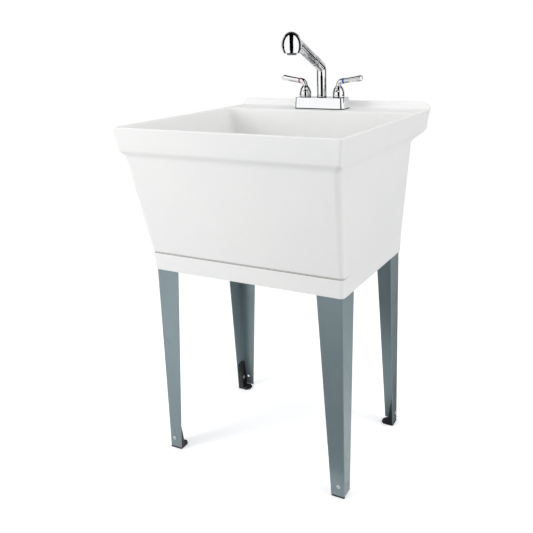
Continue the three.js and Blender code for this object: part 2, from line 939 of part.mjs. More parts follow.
function waterway() {
  const foot = baseBottom + clearance;
  const half = waterwayWidth / 2;
  const bar = block(-half, half, -waterwayDepth / 2, waterwayDepth / 2, foot, foot + waterwayHeight);
  const tower = rod(towerRadius, foot, foot + towerHeight);
  const shank = rod(shankRadius, -shankLength, foot + wall);
  const seat = rod(cartridgeRadius + clearance, foot + cartridgeSeat, baseTop + wall);
  const supply = rod(shankBore, -shankLength - wall, foot + cartridgeSeat + wall);
  const nipple = rod(nippleRadius, -nippleDrop, foot + wall).translate(nippleOffset, 0, 0);
  const outlet = rod(nippleBore, -nippleDrop - wall, foot + wall, 12).translate(nippleOffset, 0, 0);
  const solid = join(
    bar,
    tower.clone().translate(-shankX, 0, 0),
    tower.translate(shankX, 0, 0),
    shank.clone().translate(-shankX, 0, 0),
    shank.translate(shankX, 0, 0),
    rod(stemRadius, -stemDrop, stemHeight),
    nipple,
  );
  return cut(
    solid,
    seat.clone().translate(-shankX, 0, 0),
    seat.translate(shankX, 0, 0),
    supply.clone().translate(-shankX, 0, 0),
    supply.translate(shankX, 0, 0),
    rod(stemBore, -stemDrop - wall, stemHeight + wall),
    outlet,
  );
}

function mountingNut() {
  const top = -wall - clearance;
  const hexagon = rod(mountingNutRadius, top - mountingNutHeight, top, 6);
  return cut(hexagon, rod(shankRadius + clearance, -shankLength, 0));
}

function cartridge() {
  const foot = baseBottom + 2 * clearance + cartridgeSeat;
  const shoulder = baseBottom + clearance + towerHeight;
  const bonnetTop = baseTop + bonnetRise;
  return turned([
    [0, foot],
    [cartridgeRadius, foot],
    [cartridgeRadius, shoulder],
    [bonnetRadius, shoulder],
    [bonnetRadius, bonnetTop],
    [spindleRadius, bonnetTop],
    [spindleRadius, spindleHeight],
    [0, spindleHeight],
  ]);
}

// ---- Handles: built about the cold spindle, with the lever along +X ----

// Moves a solid turned about +Z onto the lever's axis, with its base at the end of the neck.
function alongLever(geometry) {
  return geometry.rotateY(radians(90 - leverLift)).translate(neckReach, 0, neckHeight);
}

function handleHub() {
  const foot = baseTop + clearance;
  const bell = turned([
    [0, foot],
    ...hubBell.map(([share, height]) => [hubRadius * share, foot + height]),
    [neckRadius, foot + hubHeight],
    [0, foot + hubHeight],
  ]);
  const rise = radians(leverLift);
  const neckPath = new THREE.QuadraticBezierCurve3(
    new THREE.Vector3(0, 0, foot + hubHeight - neckRadius / 2),
    new THREE.Vector3(0, 0, neckHeight - neckReach * Math.tan(rise)),
    new THREE.Vector3(neckReach, 0, neckHeight),
  );
  const neck = tube(neckPath, neckRadius, 16, 5);
  const stub = alongLever(rod(leverStubRadius, -neckRadius / 2, leverStubLength, 20));
  const screwHole = handleScrewPlace(rod(handleScrewRadius + clearance, 0, 2 * hubRadius, 12));
  return cut(
    join(bell, neck, stub),
    rod(hubCavityRadius, 0, baseTop + bonnetRise + 2 * clearance),
    rod(spindleRadius + clearance, 0, spindleHeight + clearance),
    screwHole,
  );
}

// The set screw lies in the hub on the side away from the lever.
function handleScrewPlace(geometry) {
  return geometry.rotateY(-Math.PI / 2).translate(0, 0, baseTop + handleScrewRise);
}

function handleScrew() {
  const start = spindleRadius + 2 * clearance;
  const end = start + handleScrewLength;
  const body = rod(handleScrewRadius, start, end, 12);
  const socket = rod(handleScrewRadius / 2, end - handleScrewRadius, end + wall, 6);
  return handleScrewPlace(cut(body, socket));
}

function indexRing() {
  const top = clearance + indexRingWidth;
  return alongLever(ring(leverStubRadius + clearance, neckRadius, clearance, top, 20));
}

function handleLever() {
  const root = indexRingWidth + 2 * clearance;
  const bore = leverStubRadius + clearance;
  const boreEnd = leverStubLength + clearance;
  const tip = leverLength - leverTipLength;
  return alongLever(turned([
    [0, boreEnd],
    [bore, boreEnd],
    [bore, root],
    [leverRootRadius, root],
    ...dome(leverTipRadius, tip, leverLength, 3),
    [0, leverLength],
  ], 20));
}

// ---- Spout ----

// Straight up, round a bend towards the front, and straight on to the wand's seat.
class SpoutPath extends THREE.Curve {
  constructor(overrun) {
    super();
    this.overrun = overrun;
  }

  getPoint(t, target = new THREE.Vector3()) {
    const rise = spoutRise - spoutFoot;
    const arc = spoutBend * radians(spoutTurn);
    const length = rise + arc + spoutReach + 2 * this.overrun;
    const travelled = t * length - this.overrun;
    const turn = THREE.MathUtils.clamp((travelled - rise) / spoutBend, 0, radians(spoutTurn));
    const before = Math.min(travelled, rise);
    const beyond = Math.max(travelled - rise - arc, 0);
    const forward = spoutBend * (1 - Math.cos(turn)) + beyond * Math.sin(turn);
    const up = spoutFoot + before + spoutBend * Math.sin(turn) + beyond * Math.cos(turn);
    return target.set(0, -forward, up);
  }
}

const wandSeat = new SpoutPath(0).getPoint(1);

// Moves a solid turned about +Z onto the wand's axis, with its base at the spout's end.
function alongWand(geometry) {
  return geometry.rotateX(radians(spoutTurn)).translate(0, wandSeat.y, wandSeat.z);
}

function spout() {
  const outside = tube(new SpoutPath(0), spoutRadius, 20, 15);
  const inside = tube(new SpoutPath(wall), spoutBore, 20, 15);
  return cut(outside, inside);
}

function spoutBushing() {
  const z0 = spoutFoot + bushingSeat;
  return ring(stemRadius + clearance, spoutBore - clearance, z0, z0 + bushingLength);
}

function wandDock() {
  return alongWand(ring(plugRadius + clearance, spoutBore - clearance, -dockLength - dockSeat, -dockSeat));
}

// ---- Spray wand ----

// A round bar with grooves along it, as an outline.
function flutedOutline() {
  const outline = [];
  const halfAngle = fluteWidth / 2 / wandRadius;
  for (let flute = 0; flute < fluteCount; flute += 1) {
    const middle = (2 * Math.PI * flute) / fluteCount;
    const land = Math.PI / fluteCount;
    const steps = [
      [-halfAngle, wandRadius],
      [-halfAngle / 2, wandRadius - fluteDepth],
      [halfAngle / 2, wandRadius - fluteDepth],
      [halfAngle, wandRadius],
      [land, wandRadius],
    ];
    for (const [offset, radius] of steps) {
      outline.push([radius * Math.cos(middle + offset), radius * Math.sin(middle + offset)]);
    }
  }
  return outline;
}

function headDome() {
  const swell = [];
  for (let step = 0; step < 4; step += 1) {
    const share = step / 4;
    const radius = between(headBottomRadius, headRadius, Math.sin((Math.PI / 2) * share));
    swell.push([radius, between(headBottom + headEdge, headMiddle, share)]);
  }
  return turned([
    [0, headBottom],
    [headBottomRadius - headEdge, headBottom],
    ...swell,
    ...dome(headRadius, headMiddle, headTop, 8),
    [0, headTop],
  ], 24).translate(0, -headReach, 0);
}

function wandBody() {
  const start = clearance;
  const collar = turned([
    [0, start],
    [wandCollarRadius - wandCollarEdge, start],
    [wandCollarRadius, start + wandCollarEdge],
    [wandCollarRadius, start + wandCollarLength],
    [0, start + wandCollarLength],
  ]);
  const grip = prism(flutedOutline(), start + wandCollarLength / 2, wandLength);
  const plug = rod(plugRadius, -plugLength, start + wandCollarLength / 2);
  const passage = rod(wandBore, -plugLength - wall, wandLength + wandRadius);
  const chamber = rod(sprayFaceRadius + clearance, headBottom - wall, headTop - headCrown)
    .translate(0, -headReach, 0);
  const solid = join(alongWand(collar), alongWand(grip), alongWand(plug), headDome());
  return cut(solid, alongWand(passage), chamber);
}

function sprayFace() {
  const bottom = headBottom - sprayFaceDrop;
  const top = headBottom + sprayFaceDepth;
  return turned([
    [0, bottom],
    [sprayNozzleRadius - sprayFaceEdge, bottom],
    [sprayNozzleRadius, bottom + sprayFaceEdge],
    [sprayNozzleRadius, headBottom],
    [sprayFaceRadius, headBottom + clearance],
    [sprayFaceRadius, top],
    [0, top],
  ]).translate(0, -headReach, 0);
}

function hoseConnector() {
  const top = -plugLength - clearance;
  return alongWand(ring(connectorBore, connectorRadius, top - connectorLength, top));
}

// ---- Scene ----

const sink = new THREE.Group();

function add(group, name, geometry, surface) {
  const mesh = new THREE.Mesh(geometry, surface);
  mesh.name = name;
  group.add(mesh);
  return mesh;
}

function addDrain() {
  const drain = new THREE.Group();
  drain.position.set(0, drainY, 0);
  sink.add(drain);
  add(drain, 'drain_flange', drainFlange(), zincSteel);
  add(drain, 'drain_gasket', drainGasket(), blackRubber);
  add(drain, 'drain_locknut', drainLocknut(), brass);
  add(drain, 'tailpiece_washer', tailpieceWasher(), whiteNylon);
  add(drain, 'tailpiece', tailpiece(), chrome);
  add(drain, 'tailpiece_nut', tailpieceNut(), chrome);
  add(drain, 'drain_stopper', drainStopper(), blackRubber);
}

function addLegs() {
  for (const corner of corners) {
    const { name, matrix, footMatrix } = corner;
    add(sink, `leg_${name}`, leg(corner), greySteel);
    add(sink, `leg_screw_${name}`, transformed(legScrewSolid(), matrix), zincSteel);
    add(sink, `foot_${name}`, transformed(footSolid(), footMatrix), blackPlastic);
    add(sink, `foot_screw_${name}`, transformed(footScrewSolid(), footMatrix), zincSteel);
    add(sink, `foot_nut_${name}`, transformed(footNutSolid(), footMatrix), zincSteel);
  }
}

function addHandle(faucet, side, x, turn, ringSurface) {
  const handle = new THREE.Group();
  handle.position.set(x, 0, 0);
  faucet.add(handle);
  add(handle, `mounting_nut_${side}`, mountingNut(), greyPlastic);
  add(handle, `cartridge_${side}`, cartridge(), brass);
  const turning = new THREE.Group();
  turning.rotation.z = turn;
  handle.add(turning);
  add(turning, `handle_hub_${side}`, handleHub(), chrome);
  add(turning, `handle_screw_${side}`, handleScrew(), zincSteel);
  add(turning, `index_ring_${side}`, indexRing(), ringSurface);
  add(turning, `handle_lever_${side}`, handleLever(), chrome);
}

function addFaucet() {
  const faucet = new THREE.Group();
  faucet.position.set(0, faucetY, rimHeight);
  sink.add(faucet);
  add(faucet, 'faucet_base', faucetBase(), chrome);
  add(faucet, 'deck_gasket', deckGasketSolid(), blackRubber);
  add(faucet, 'waterway', waterway(), greyPlastic);
  addHandle(faucet, 'hot', -shankX, Math.PI, redRing);
  addHandle(faucet, 'cold', shankX, 0, blueRing);
  add(faucet, 'spout', spout(), chrome);
  add(faucet, 'spout_bushing', spoutBushing(), whiteNylon);
  add(faucet, 'wand_dock', wandDock(), whiteNylon);
  add(faucet, 'wand_body', wandBody(), chrome);
  add(faucet, 'spray_face', sprayFace(), greyPlastic);
  add(faucet, 'hose_connector', hoseConnector(), brass);
}

add(sink, 'tub', tub(), whitePlastic);
addDrain();
addLegs();
addFaucet();

export default sink;
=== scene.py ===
from math import acos, atan2, cos, degrees, hypot, pi, radians, sin, sqrt, tan

import bmesh
import bpy
import numpy as np
from mathutils import Matrix, Vector


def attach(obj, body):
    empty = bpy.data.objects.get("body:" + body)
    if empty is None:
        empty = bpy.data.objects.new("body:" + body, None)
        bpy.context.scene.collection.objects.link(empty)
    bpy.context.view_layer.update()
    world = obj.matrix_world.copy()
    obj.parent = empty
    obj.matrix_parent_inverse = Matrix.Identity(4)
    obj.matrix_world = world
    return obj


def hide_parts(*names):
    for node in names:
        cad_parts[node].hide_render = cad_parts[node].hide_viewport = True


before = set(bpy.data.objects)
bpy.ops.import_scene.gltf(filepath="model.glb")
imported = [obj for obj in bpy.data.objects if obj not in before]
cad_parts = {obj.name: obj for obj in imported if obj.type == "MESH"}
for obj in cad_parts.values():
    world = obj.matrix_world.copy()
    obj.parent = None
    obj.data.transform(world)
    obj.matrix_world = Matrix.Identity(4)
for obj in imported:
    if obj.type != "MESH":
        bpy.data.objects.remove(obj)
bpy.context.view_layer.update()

scene = bpy.context.scene

# Lengths below are in millimetres and become metres when a mesh is made.
MM = 0.001
# The play between pieces that rest on each other.
GAP = 0.3
# Corners closer than this, in metres, are one corner.
SAME_CORNER = 2e-6


# ---------------- curves and outlines

def between(a, b, share):
    return a + (b - a) * share


def ease(t):
    t = min(max(t, 0.0), 1.0)
    return t * t * (3 - 2 * t)


def fillet(points, closed=True, steps=4):
    """A polyline of (x, y, radius) points with its corners rounded."""
    rounded = []
    count = len(points)
    for i, (x, y, radius) in enumerate(points):
        corner = np.array((x, y), float)
        if radius <= 0 or (not closed and i in (0, count - 1)):
            rounded.append(corner)
            continue
        before = np.array(points[i - 1][:2], float) - corner
        after = np.array(points[(i + 1) % count][:2], float) - corner
        length_before, length_after = np.linalg.norm(before), np.linalg.norm(after)
        before, after = before / length_before, after / length_after
        angle = acos(float(np.clip(before @ after, -1, 1)))
        if angle > pi - 1e-3:
            rounded.append(corner)
            continue
        reach = min(radius / tan(angle / 2), 0.49 * length_before, 0.49 * length_after)
        radius = reach * tan(angle / 2)
        middle = (before + after) / np.linalg.norm(before + after)
        centre = corner + middle * radius / sin(angle / 2)
        start = corner + before * reach - centre
        end = corner + after * reach - centre
        turn = atan2(start[0] * end[1] - start[1] * end[0], float(start @ end))
        for step in range(steps + 1):
            a = turn * step / steps
            rounded.append(centre + np.array((
                start[0] * cos(a) - start[1] * sin(a),
                start[0] * sin(a) + start[1] * cos(a),
            )))
    return rounded


def circle(radius, sides, x=0.0, y=0.0):
    return [
        (x + radius * cos(2 * pi * i / sides), y + radius * sin(2 * pi * i / sides))
        for i in range(sides)
    ]


def rounded_rectangle(half, front, rear, radius, corner_steps=8, side_steps=16):
    """Points of a rounded rectangle, counter-clockwise, with evenly split sides."""
    centres = [
        (half - radius, front + radius, -90), (half - radius, rear - radius, 0),
        (radius - half, rear - radius, 90), (radius - half, front + radius, 180),
    ]
    corners = []
    for x, y, start in centres:
        arc = []
        for step in range(corner_steps + 1):
            angle = radians(start + 90 * step / corner_steps)
            arc.append((x + radius * cos(angle), y + radius * sin(angle)))
        corners.append(arc)
    outline = []
    for i, arc in enumerate(corners):
        outline += arc
        a, b = np.array(arc[-1]), np.array(corners[(i + 1) % 4][0])
        outline += [tuple(between(a, b, step / side_steps)) for step in range(1, side_steps)]
    return outline


def smooth_steps(points, count):
    """A smooth curve through points of any dimension, passing through each of them."""
    points = np.array(points, float)
    tangents = np.gradient(points, axis=0)
    curve = []
    for i in range(len(points) - 1):
        for step in range(count):
            t = step / count
            h00, h10 = 2 * t**3 - 3 * t**2 + 1, t**3 - 2 * t**2 + t
            h01, h11 = -2 * t**3 + 3 * t**2, t**3 - t**2
            curve.append(
                h00 * points[i] + h10 * tangents[i] + h01 * points[i + 1] + h11 * tangents[i + 1]
            )
    curve.append(points[-1])
    return curve


# ---------------- solids: (corners, faces)

def loft(loops, caps=True, ring=False):
    """A skin through loops of equal length. A ring joins its last loop to its first."""
    count = len(loops[0])
    corners = np.concatenate([np.array(loop, float) for loop in loops])
    faces = []
    for row in range(len(loops) if ring else len(loops) - 1):
        low, high = row * count, ((row + 1) % len(loops)) * count
        for i in range(count):
            j = (i + 1) % count
            faces.append((low + i, low + j, high + j, high + i))
    if caps and not ring:
        last = (len(loops) - 1) * count
        faces += [tuple(reversed(range(count))), tuple(range(last, last + count))]
    return corners, faces


def level(outline, z):
    return [(x, y, z) for x, y in outline]


def prism(outline, z0, z1):
    return loft([level(outline, z) for z in (z0, z1)])


def lathe(profile, sides=64, ring=False):
    """A profile of (radius, height) points turned about +Z."""
    return loft([level(circle(max(radius, 0), sides), height) for radius, height in profile], ring=ring)


def turned(points, sides, steps=4):
    """A solid turned from (radius, height, rounding) points that start and end on the axis."""
    return lathe(fillet(points, closed=False, steps=steps), sides)


def turned_ring(points, sides, steps=4):
    """A ring turned from the corners of its section, as (radius, height, rounding)."""
    return lathe(fillet(points, steps=steps), sides, ring=True)


def rod(radius, z0, z1, sides):
    return lathe([(0, z0), (radius, z0), (radius, z1), (0, z1)], sides)


def tube_wall(inner, outer, z0, z1, edge=0.4, sides=48, steps=2):
    section = [(inner, z0, edge), (outer, z0, edge), (outer, z1, edge), (inner, z1, edge)]
    return turned_ring(section, sides, steps)


def block(x0, x1, y0, y1, z0, z1):
    return prism([(x0, y0), (x1, y0), (x1, y1), (x0, y1)], z0, z1)


def at(x=0.0, y=0.0, z=0.0, turn=0.0, axis="Z"):
    """A place, and a turn there in degrees."""
    return Matrix.Translation((x, y, z)) @ Matrix.Rotation(radians(turn), 4, axis)


def moved(solid, matrix):
    corners, faces = solid
    array = np.array(matrix, float)
    turned = corners @ array[:3, :3].T + array[:3, 3]
    if np.linalg.det(array[:3, :3]) < 0:
        faces = [tuple(reversed(face)) for face in faces]
    return turned, faces


def shifted(solid, x=0, y=0, z=0):
    return solid[0] + np.array((x, y, z), float), solid[1]


def together(*solids):
    corners, faces, offset = [], [], 0
    for some, its_faces in solids:
        corners.append(some)
        faces += [tuple(i + offset for i in face) for face in its_faces]
        offset += len(some)
    return np.concatenate(corners), faces


def plate(outline, holes, thickness, edge):
    """A flat plate with holes and rounded edges, from z = 0 to its thickness."""
    curve = bpy.data.curves.new("plate", "CURVE")
    curve.dimensions = "2D"
    curve.fill_mode = "BOTH"
    curve.extrude = (thickness / 2 - edge) * MM
    curve.bevel_depth = edge * MM
    curve.bevel_resolution = 2
    curve.offset = -edge * MM
    for loop in [outline] + list(holes):
        spline = curve.splines.new("POLY")
        spline.points.add(len(loop) - 1)
        for point, (x, y) in zip(spline.points, loop):
            point.co = (x * MM, y * MM, 0, 1)
        spline.use_cyclic_u = True
    holder = linked("plate", curve)
    graph = bpy.context.evaluated_depsgraph_get()
    mesh = bpy.data.meshes.new_from_object(holder.evaluated_get(graph))
    corners = np.array([v.co for v in mesh.vertices]) / MM + np.array((0, 0, thickness / 2))
    faces = [tuple(p.vertices) for p in mesh.polygons]
    bpy.data.objects.remove(holder)
    bpy.data.curves.remove(curve)
    bpy.data.meshes.remove(mesh)
    return corners, faces


def swept(path, radii, sides):
    """A round bar along a path in the XZ plane, with a radius for each point."""
    path = np.array(path, float)
    tangents = np.gradient(path, axis=0)
    tangents /= np.linalg.norm(tangents, axis=1)[:, None]
    side = np.array((0, 1.0, 0))
    loops = []
    for point, tangent, radius in zip(path, tangents, radii):
        across = np.cross(tangent, side)
        loops.append([point + u * side + v * across for u, v in circle(radius, sides)])
    return loft(loops)


# ---------------- objects

def linked(name, data):
    made = bpy.data.objects.new(name, data)
    scene.collection.objects.link(made)
    return made


def object_of(name, solid):
    corners, faces = solid
    mesh = bpy.data.meshes.new(name)
    mesh.from_pydata([Vector(c) * MM for c in corners], [], faces)
    shape = bmesh.new()
    shape.from_mesh(mesh)
    bmesh.ops.remove_doubles(shape, verts=shape.verts, dist=SAME_CORNER)
    bmesh.ops.recalc_face_normals(shape, faces=shape.faces)
    shape.to_mesh(mesh)
    shape.free()
    return linked(name, mesh)


def discard(made):
    mesh = made.data
    bpy.data.objects.remove(made)
    bpy.data.meshes.remove(mesh)


def mesh_solid(made):
    """An object's mesh as a solid again, and the object removed."""
    corners = np.array([v.co for v in made.data.vertices]) / MM
    faces = [tuple(p.vertices) for p in made.data.polygons]
    discard(made)
    return corners, faces


def combined(base, tools, operation):
    """base with each tool solid joined to it or cut from it."""
    for tool_solid in tools:
        tool = object_of("tool", tool_solid)
        change = base.modifiers.new("combine", "BOOLEAN")
        change.operation = operation
        change.solver = "EXACT"
        change.object = tool
        graph = bpy.context.evaluated_depsgraph_get()
        mesh = bpy.data.meshes.new_from_object(base.evaluated_get(graph))
        base.modifiers.clear()
        old = base.data
        base.data = mesh
        bpy.data.meshes.remove(old)
        discard(tool)
    return base


def finish_piece(made, finish, body, node, sharp=32.0):
    """Dress an object as a piece: a material, the body it rides on, and its CAD node."""
    material, slot = finish
    mesh = made.data
    mesh.materials.clear()
    mesh.materials.append(material)
    mesh.shade_smooth()
    mesh.set_sharp_from_angle(angle=radians(sharp))
    made.modifiers.new("flat_faces", "WEIGHTED_NORMAL").keep_sharp = True
    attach(made, body)
    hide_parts(node)


def piece(name, solid, finish, body, node, sharp=32.0):
    finish_piece(object_of(name, solid), finish, body, node, sharp)


# ---------------- materials

class Nodes:
    """A node tree with a few helpers. A value is a number, a colour or another node's output."""

    def __init__(self, tree):
        self.tree = tree

    def connect(self, value, socket):
        if isinstance(value, bpy.types.NodeSocket):
            self.tree.links.new(value, socket)
        else:
            socket.default_value = value

    def add(self, kind, inputs=None, **settings):
        node = self.tree.nodes.new(kind)
        for key, value in settings.items():
            setattr(node, key, value)
        for key, value in (inputs or {}).items():
            self.connect(value, node.inputs[key])
        return node

    def maths(self, operation, first, second):
        return self.add("ShaderNodeMath", {0: first, 1: second}, operation=operation).outputs[0]

    def seen_directly(self):
        """1 where the camera, a reflection or a refraction looks, and 0 where light bounces."""
        path = self.add("ShaderNodeLightPath").outputs
        seen = self.maths("MAXIMUM", path["Is Camera Ray"], path["Is Glossy Ray"])
        return self.maths("MAXIMUM", seen, path["Is Transmission Ray"])


class Surface(Nodes):
    """A Principled material."""

    def __init__(self, name):
        self.material = bpy.data.materials.new(name)
        self.material.use_nodes = True
        super().__init__(self.material.node_tree)
        self.shader = self.tree.nodes["Principled BSDF"]
        self.place = self.add("ShaderNodeTexCoord").outputs["Object"]

    def set(self, **values):
        for key, value in values.items():
            self.connect(value, self.shader.inputs[key.replace("_", " ")])

    def glow(self, base, strength):
        """Dull and without shine, with a white glow."""
        self.set(
            Base_Color=base, Roughness=1.0, Specular_IOR_Level=0.0,
            Emission_Color=(1, 1, 1, 1), Emission_Strength=strength,
        )

    def done(self, base, rough, relief, **more):
        """Set what every material has, and give the material."""
        self.set(Base_Color=base, Roughness=rough, Normal=relief, **more)
        return self.material

    def noise(self, scale, detail, stretch=None, roughness=0.5):
        place = self.place
        if stretch:
            place = self.add("ShaderNodeMapping", {"Vector": place, "Scale": stretch}).outputs[0]
        inputs = {"Vector": place, "Scale": scale, "Detail": detail, "Roughness": roughness}
        return self.add("ShaderNodeTexNoise", inputs).outputs["Fac"]

    def spread(self, value, low, high, start=0.3, end=0.7):
        """value moved from start..end to low..high."""
        return self.add(
            "ShaderNodeMapRange",
            {"Value": value, "From Min": start, "From Max": end, "To Min": low, "To Max": high},
        ).outputs[0]

    def cloud(self, scale, detail, low=0.0, high=1.0, start=0.3, end=0.7, **kind):
        """Noise moved from start..end to low..high."""
        return self.spread(self.noise(scale, detail, **kind), low, high, start, end)

    def mix(self, share, first, second):
        """A blend of two colours, each an output or sRGB levels from 0 to 255."""
        first, second = (linear(c) if isinstance(c, tuple) else c for c in (first, second))
        return self.add("ShaderNodeMix", {0: share, 6: first, 7: second}, data_type="RGBA").outputs[2]

    def bump(self, scale, distance, strength, detail=2.0, stretch=None, normal=None):
        """A relief of noise."""
        height = self.noise(scale, detail, stretch)
        inputs = {"Height": height, "Distance": distance, "Strength": strength}
        if normal is not None:
            inputs["Normal"] = normal
        return self.add("ShaderNodeBump", inputs).outputs[0]

    def crevice_shade(self, distance, deep=0.35, open_face=0.85, alone=True):
        """A mask for painted shade, from ambient occlusion: 1 deep in a groove and 0 on an open face."""
        free = self.add("ShaderNodeAmbientOcclusion", {"Distance": distance}, samples=6, only_local=alone)
        return self.spread(free.outputs["AO"], 1.0, 0.0, start=deep, end=open_face)

    def edges(self, radius, most=1.0):
        """A mask for painted edge highlights: nearly most on a convex edge and 0 on a flat face."""
        rounded = self.add("ShaderNodeBevel", {"Radius": radius}, samples=4).outputs[0]
        flat = self.add("ShaderNodeNewGeometry").outputs["Normal"]
        alike = self.add("ShaderNodeVectorMath", {0: rounded, 1: flat}, operation="DOT_PRODUCT")
        return self.spread(alike.outputs["Value"], most, 0.0, start=0.75, end=0.99)


def linear(levels):
    """sRGB levels, 0 to 255, as a linear colour."""
    shares = [level / 255 for level in levels]
    return (*[c / 12.92 if c <= 0.04045 else ((c + 0.055) / 1.055) ** 2.4 for c in shares], 1.0)


def moulded_white():
    s = Surface("moulded_white")
    base = s.mix(s.cloud(4.0, 3.0), (243, 242, 240), (239, 239, 238))
    base = s.mix(s.cloud(60.0, 4.0, 0.0, 0.25), base, (246, 245, 242))
    scuffs = s.cloud(26.0, 6.0, 0.0, 0.35, 0.62, 0.8, stretch=(1.0, 1.0, 0.35), roughness=0.7)
    base = s.mix(scuffs, base, (228, 227, 224))
    # Painted shade: the white turns warm grey in grooves and inside corners, where shade falls.
    base = s.mix(s.crevice_shade(0.006), base, (156, 152, 146))
    orange_peel = s.bump(420.0, 0.00008, 0.5)
    return s.done(
        base, s.cloud(35.0, 4.0, 0.36, 0.5), s.bump(9.0, 0.0012, 0.35, 1.0, normal=orange_peel),
        IOR=1.46, Subsurface_Weight=0.06, Subsurface_Scale=0.004, Subsurface_Radius=(1.0, 0.9, 0.8),
    )


def leg_paint():
    s = Surface("leg_paint")
    base = s.mix(s.cloud(7.0, 3.0, stretch=(1.0, 1.0, 0.3)), (121, 137, 142), (131, 147, 152))
    base = s.mix(s.cloud(260.0, 3.0, 0.0, 0.35, 0.55, 0.8), base, (112, 128, 133))
    # Painted highlight: the flanges' convex edges are lighter, in patches.
    painted_edge_highlight = s.maths("MULTIPLY", s.edges(0.0012, 0.55), s.cloud(90.0, 4.0, 0.1, 1.0))
    base = s.mix(painted_edge_highlight, base, (186, 196, 198))
    peel = s.bump(700.0, 0.00006, 0.6)
    rolled = s.bump(14.0, 0.0006, 0.4, 1.0, stretch=(1.0, 1.0, 0.2), normal=peel)
    return s.done(base, s.cloud(50.0, 4.0, 0.28, 0.42), rolled, Metallic=0.25, IOR=1.5)


def black_moulded():
    s = Surface("black_moulded")
    base = s.mix(s.cloud(90.0, 4.0), (24, 24, 26), (36, 36, 38))
    # Painted highlight: the feet's convex edges are lighter grey.
    base = s.mix(s.edges(0.0009, 0.5), base, (84, 84, 88))
    base = s.mix(s.cloud(35.0, 6.0, 0.0, 0.25, 0.5, 0.8, roughness=0.7), base, (96, 96, 98))
    return s.done(base, s.cloud(140.0, 3.0, 0.42, 0.62), s.bump(1500.0, 0.00005, 0.7), IOR=1.48)


def chrome_plate():
    s = Surface("chrome_plate")
    base = s.mix(s.cloud(30.0, 3.0), (252, 253, 254), (247, 249, 251))
    base = s.mix(s.cloud(55.0, 5.0, 0.0, 1.0, 0.66, 0.85, roughness=0.65), base, (236, 238, 240))
    # Painted shade: the chrome turns near black in creases, grooves and where parts meet.
    base = s.mix(s.crevice_shade(0.004, 0.35, 0.82, alone=False), base, (26, 28, 32))
    rough = s.cloud(75.0, 5.0, 0.035, 0.09, 0.35, 0.75, roughness=0.65)
    return s.done(base, rough, s.bump(45.0, 0.00003, 0.12, 1.0), Metallic=1.0)


def zinc_plate():
    s = Surface("zinc_plate")
    base = s.mix(s.cloud(160.0, 4.0), (224, 226, 228), (200, 203, 206))
    # Painted highlight: the convex edges are lighter.
    base = s.mix(s.edges(0.0006, 0.6), base, (238, 239, 240))
    # Painted shade: the zinc turns dark in recesses and creases, such as the screws' cross recesses.
    base = s.mix(s.crevice_shade(0.002, 0.3, 0.85, alone=False), base, (52, 54, 58))
    brushed = s.bump(900.0, 0.00004, 0.6, stretch=(1.0, 1.0, 0.2))
    return s.done(base, s.cloud(240.0, 4.0, 0.25, 0.42), brushed, Metallic=0.5)


def cast_brass():
    s = Surface("cast_brass")
    base = s.mix(s.cloud(70.0, 4.0), (196, 164, 96), (168, 136, 74))
    base = s.mix(s.cloud(22.0, 5.0, 0.0, 0.5, 0.5, 0.8), base, (122, 98, 60))
    return s.done(base, s.cloud(120.0, 4.0, 0.25, 0.5), s.bump(600.0, 0.00005, 0.6, 3.0), Metallic=0.95)


def plain_plastic(name, light, dark, rough_low, rough_high):
    s = Surface(name)
    base, rough = s.mix(s.cloud(80.0, 4.0), light, dark), s.cloud(150.0, 3.0, rough_low, rough_high)
    return s.done(base, rough, s.bump(1100.0, 0.00004, 0.6), IOR=1.48)


def soft_rubber():
    s = Surface("soft_rubber")
    base = s.mix(s.cloud(60.0, 5.0), (30, 30, 31), (44, 43, 43))
    base = s.mix(s.cloud(28.0, 6.0, 0.0, 0.3, 0.55, 0.85, roughness=0.7), base, (92, 90, 88))
    return s.done(base, s.cloud(110.0, 3.0, 0.6, 0.85), s.bump(1300.0, 0.00008, 0.8), IOR=1.5)


# Each finish is a material and the slot it stands for.
WHITE = (moulded_white(), "white_plastic")
PAINT = (leg_paint(), "leg_paint")
BLACK = (black_moulded(), "black_plastic")
CHROME = (chrome_plate(), "chrome")
STAINLESS = (CHROME[0], "steel")
ZINC = (zinc_plate(), "steel")
BRASS = (cast_brass(), "brass")
RUBBER = (soft_rubber(), "rubber")
GREY = (plain_plastic("grey_plastic", (140, 142, 146), (120, 122, 127), 0.35, 0.55), "grey_plastic")
NYLON = (plain_plastic("white_nylon", (232, 230, 224), (220, 218, 211), 0.4, 0.6), "nylon")
RED = (plain_plastic("red_ring", (205, 62, 58), (186, 44, 42), 0.2, 0.34), "red_ring")
BLUE = (plain_plastic("blue_ring", (42, 84, 184), (30, 66, 160), 0.2, 0.34), "blue_ring")


# ---------------- tub

RIM_HEIGHT = 868.0
FAUCET_Y = 226.5
SHANK = 50.8
SHANK_HOLE, STEM_HOLE, DRAIN_HOLE, LEG_SCREW_HOLE = 13.9, 16.0, 22.6, 2.3
DRAIN_Y = -30.25
SKIRT_HALF, SKIRT_FRONT, SKIRT_REAR = 257.5, -220.5, 160.0
BODY_FOOT, BODY_TOP = 551.0, 806.0
GROOVE_DEPTH, GROOVE_REACH, GROOVE_FADE = 3.0, 4.0, 6.0


def rounded_stations(rows):
    """Levels of (half width, front, rear, corner radius, height, groove), from rows that have a rounding
    before the groove. Both may be left out."""
    rows = [(*row, 0.0, 0.0)[:7] for row in rows]
    stations = [(np.array((*row[:5], row[6]), float), row[5]) for row in rows]
    steps = 5
    result = [stations[0][0]]
    for (before, _), (here, rounding), (after, _) in zip(stations, stations[1:], stations[2:]):
        if not rounding:
            result.append(here)
            continue
        start, end = (
            between(here, other, min(0.49, rounding / hypot(
                max(abs(other[0] - here[0]), abs(other[1] - here[1])), other[4] - here[4],
            ))) for other in (before, after)
        )
        for step in range(steps + 1):
            t = step / steps
            result.append((1 - t) ** 2 * start + 2 * t * (1 - t) * here + t * t * end)
    return result + [stations[-1][0]]


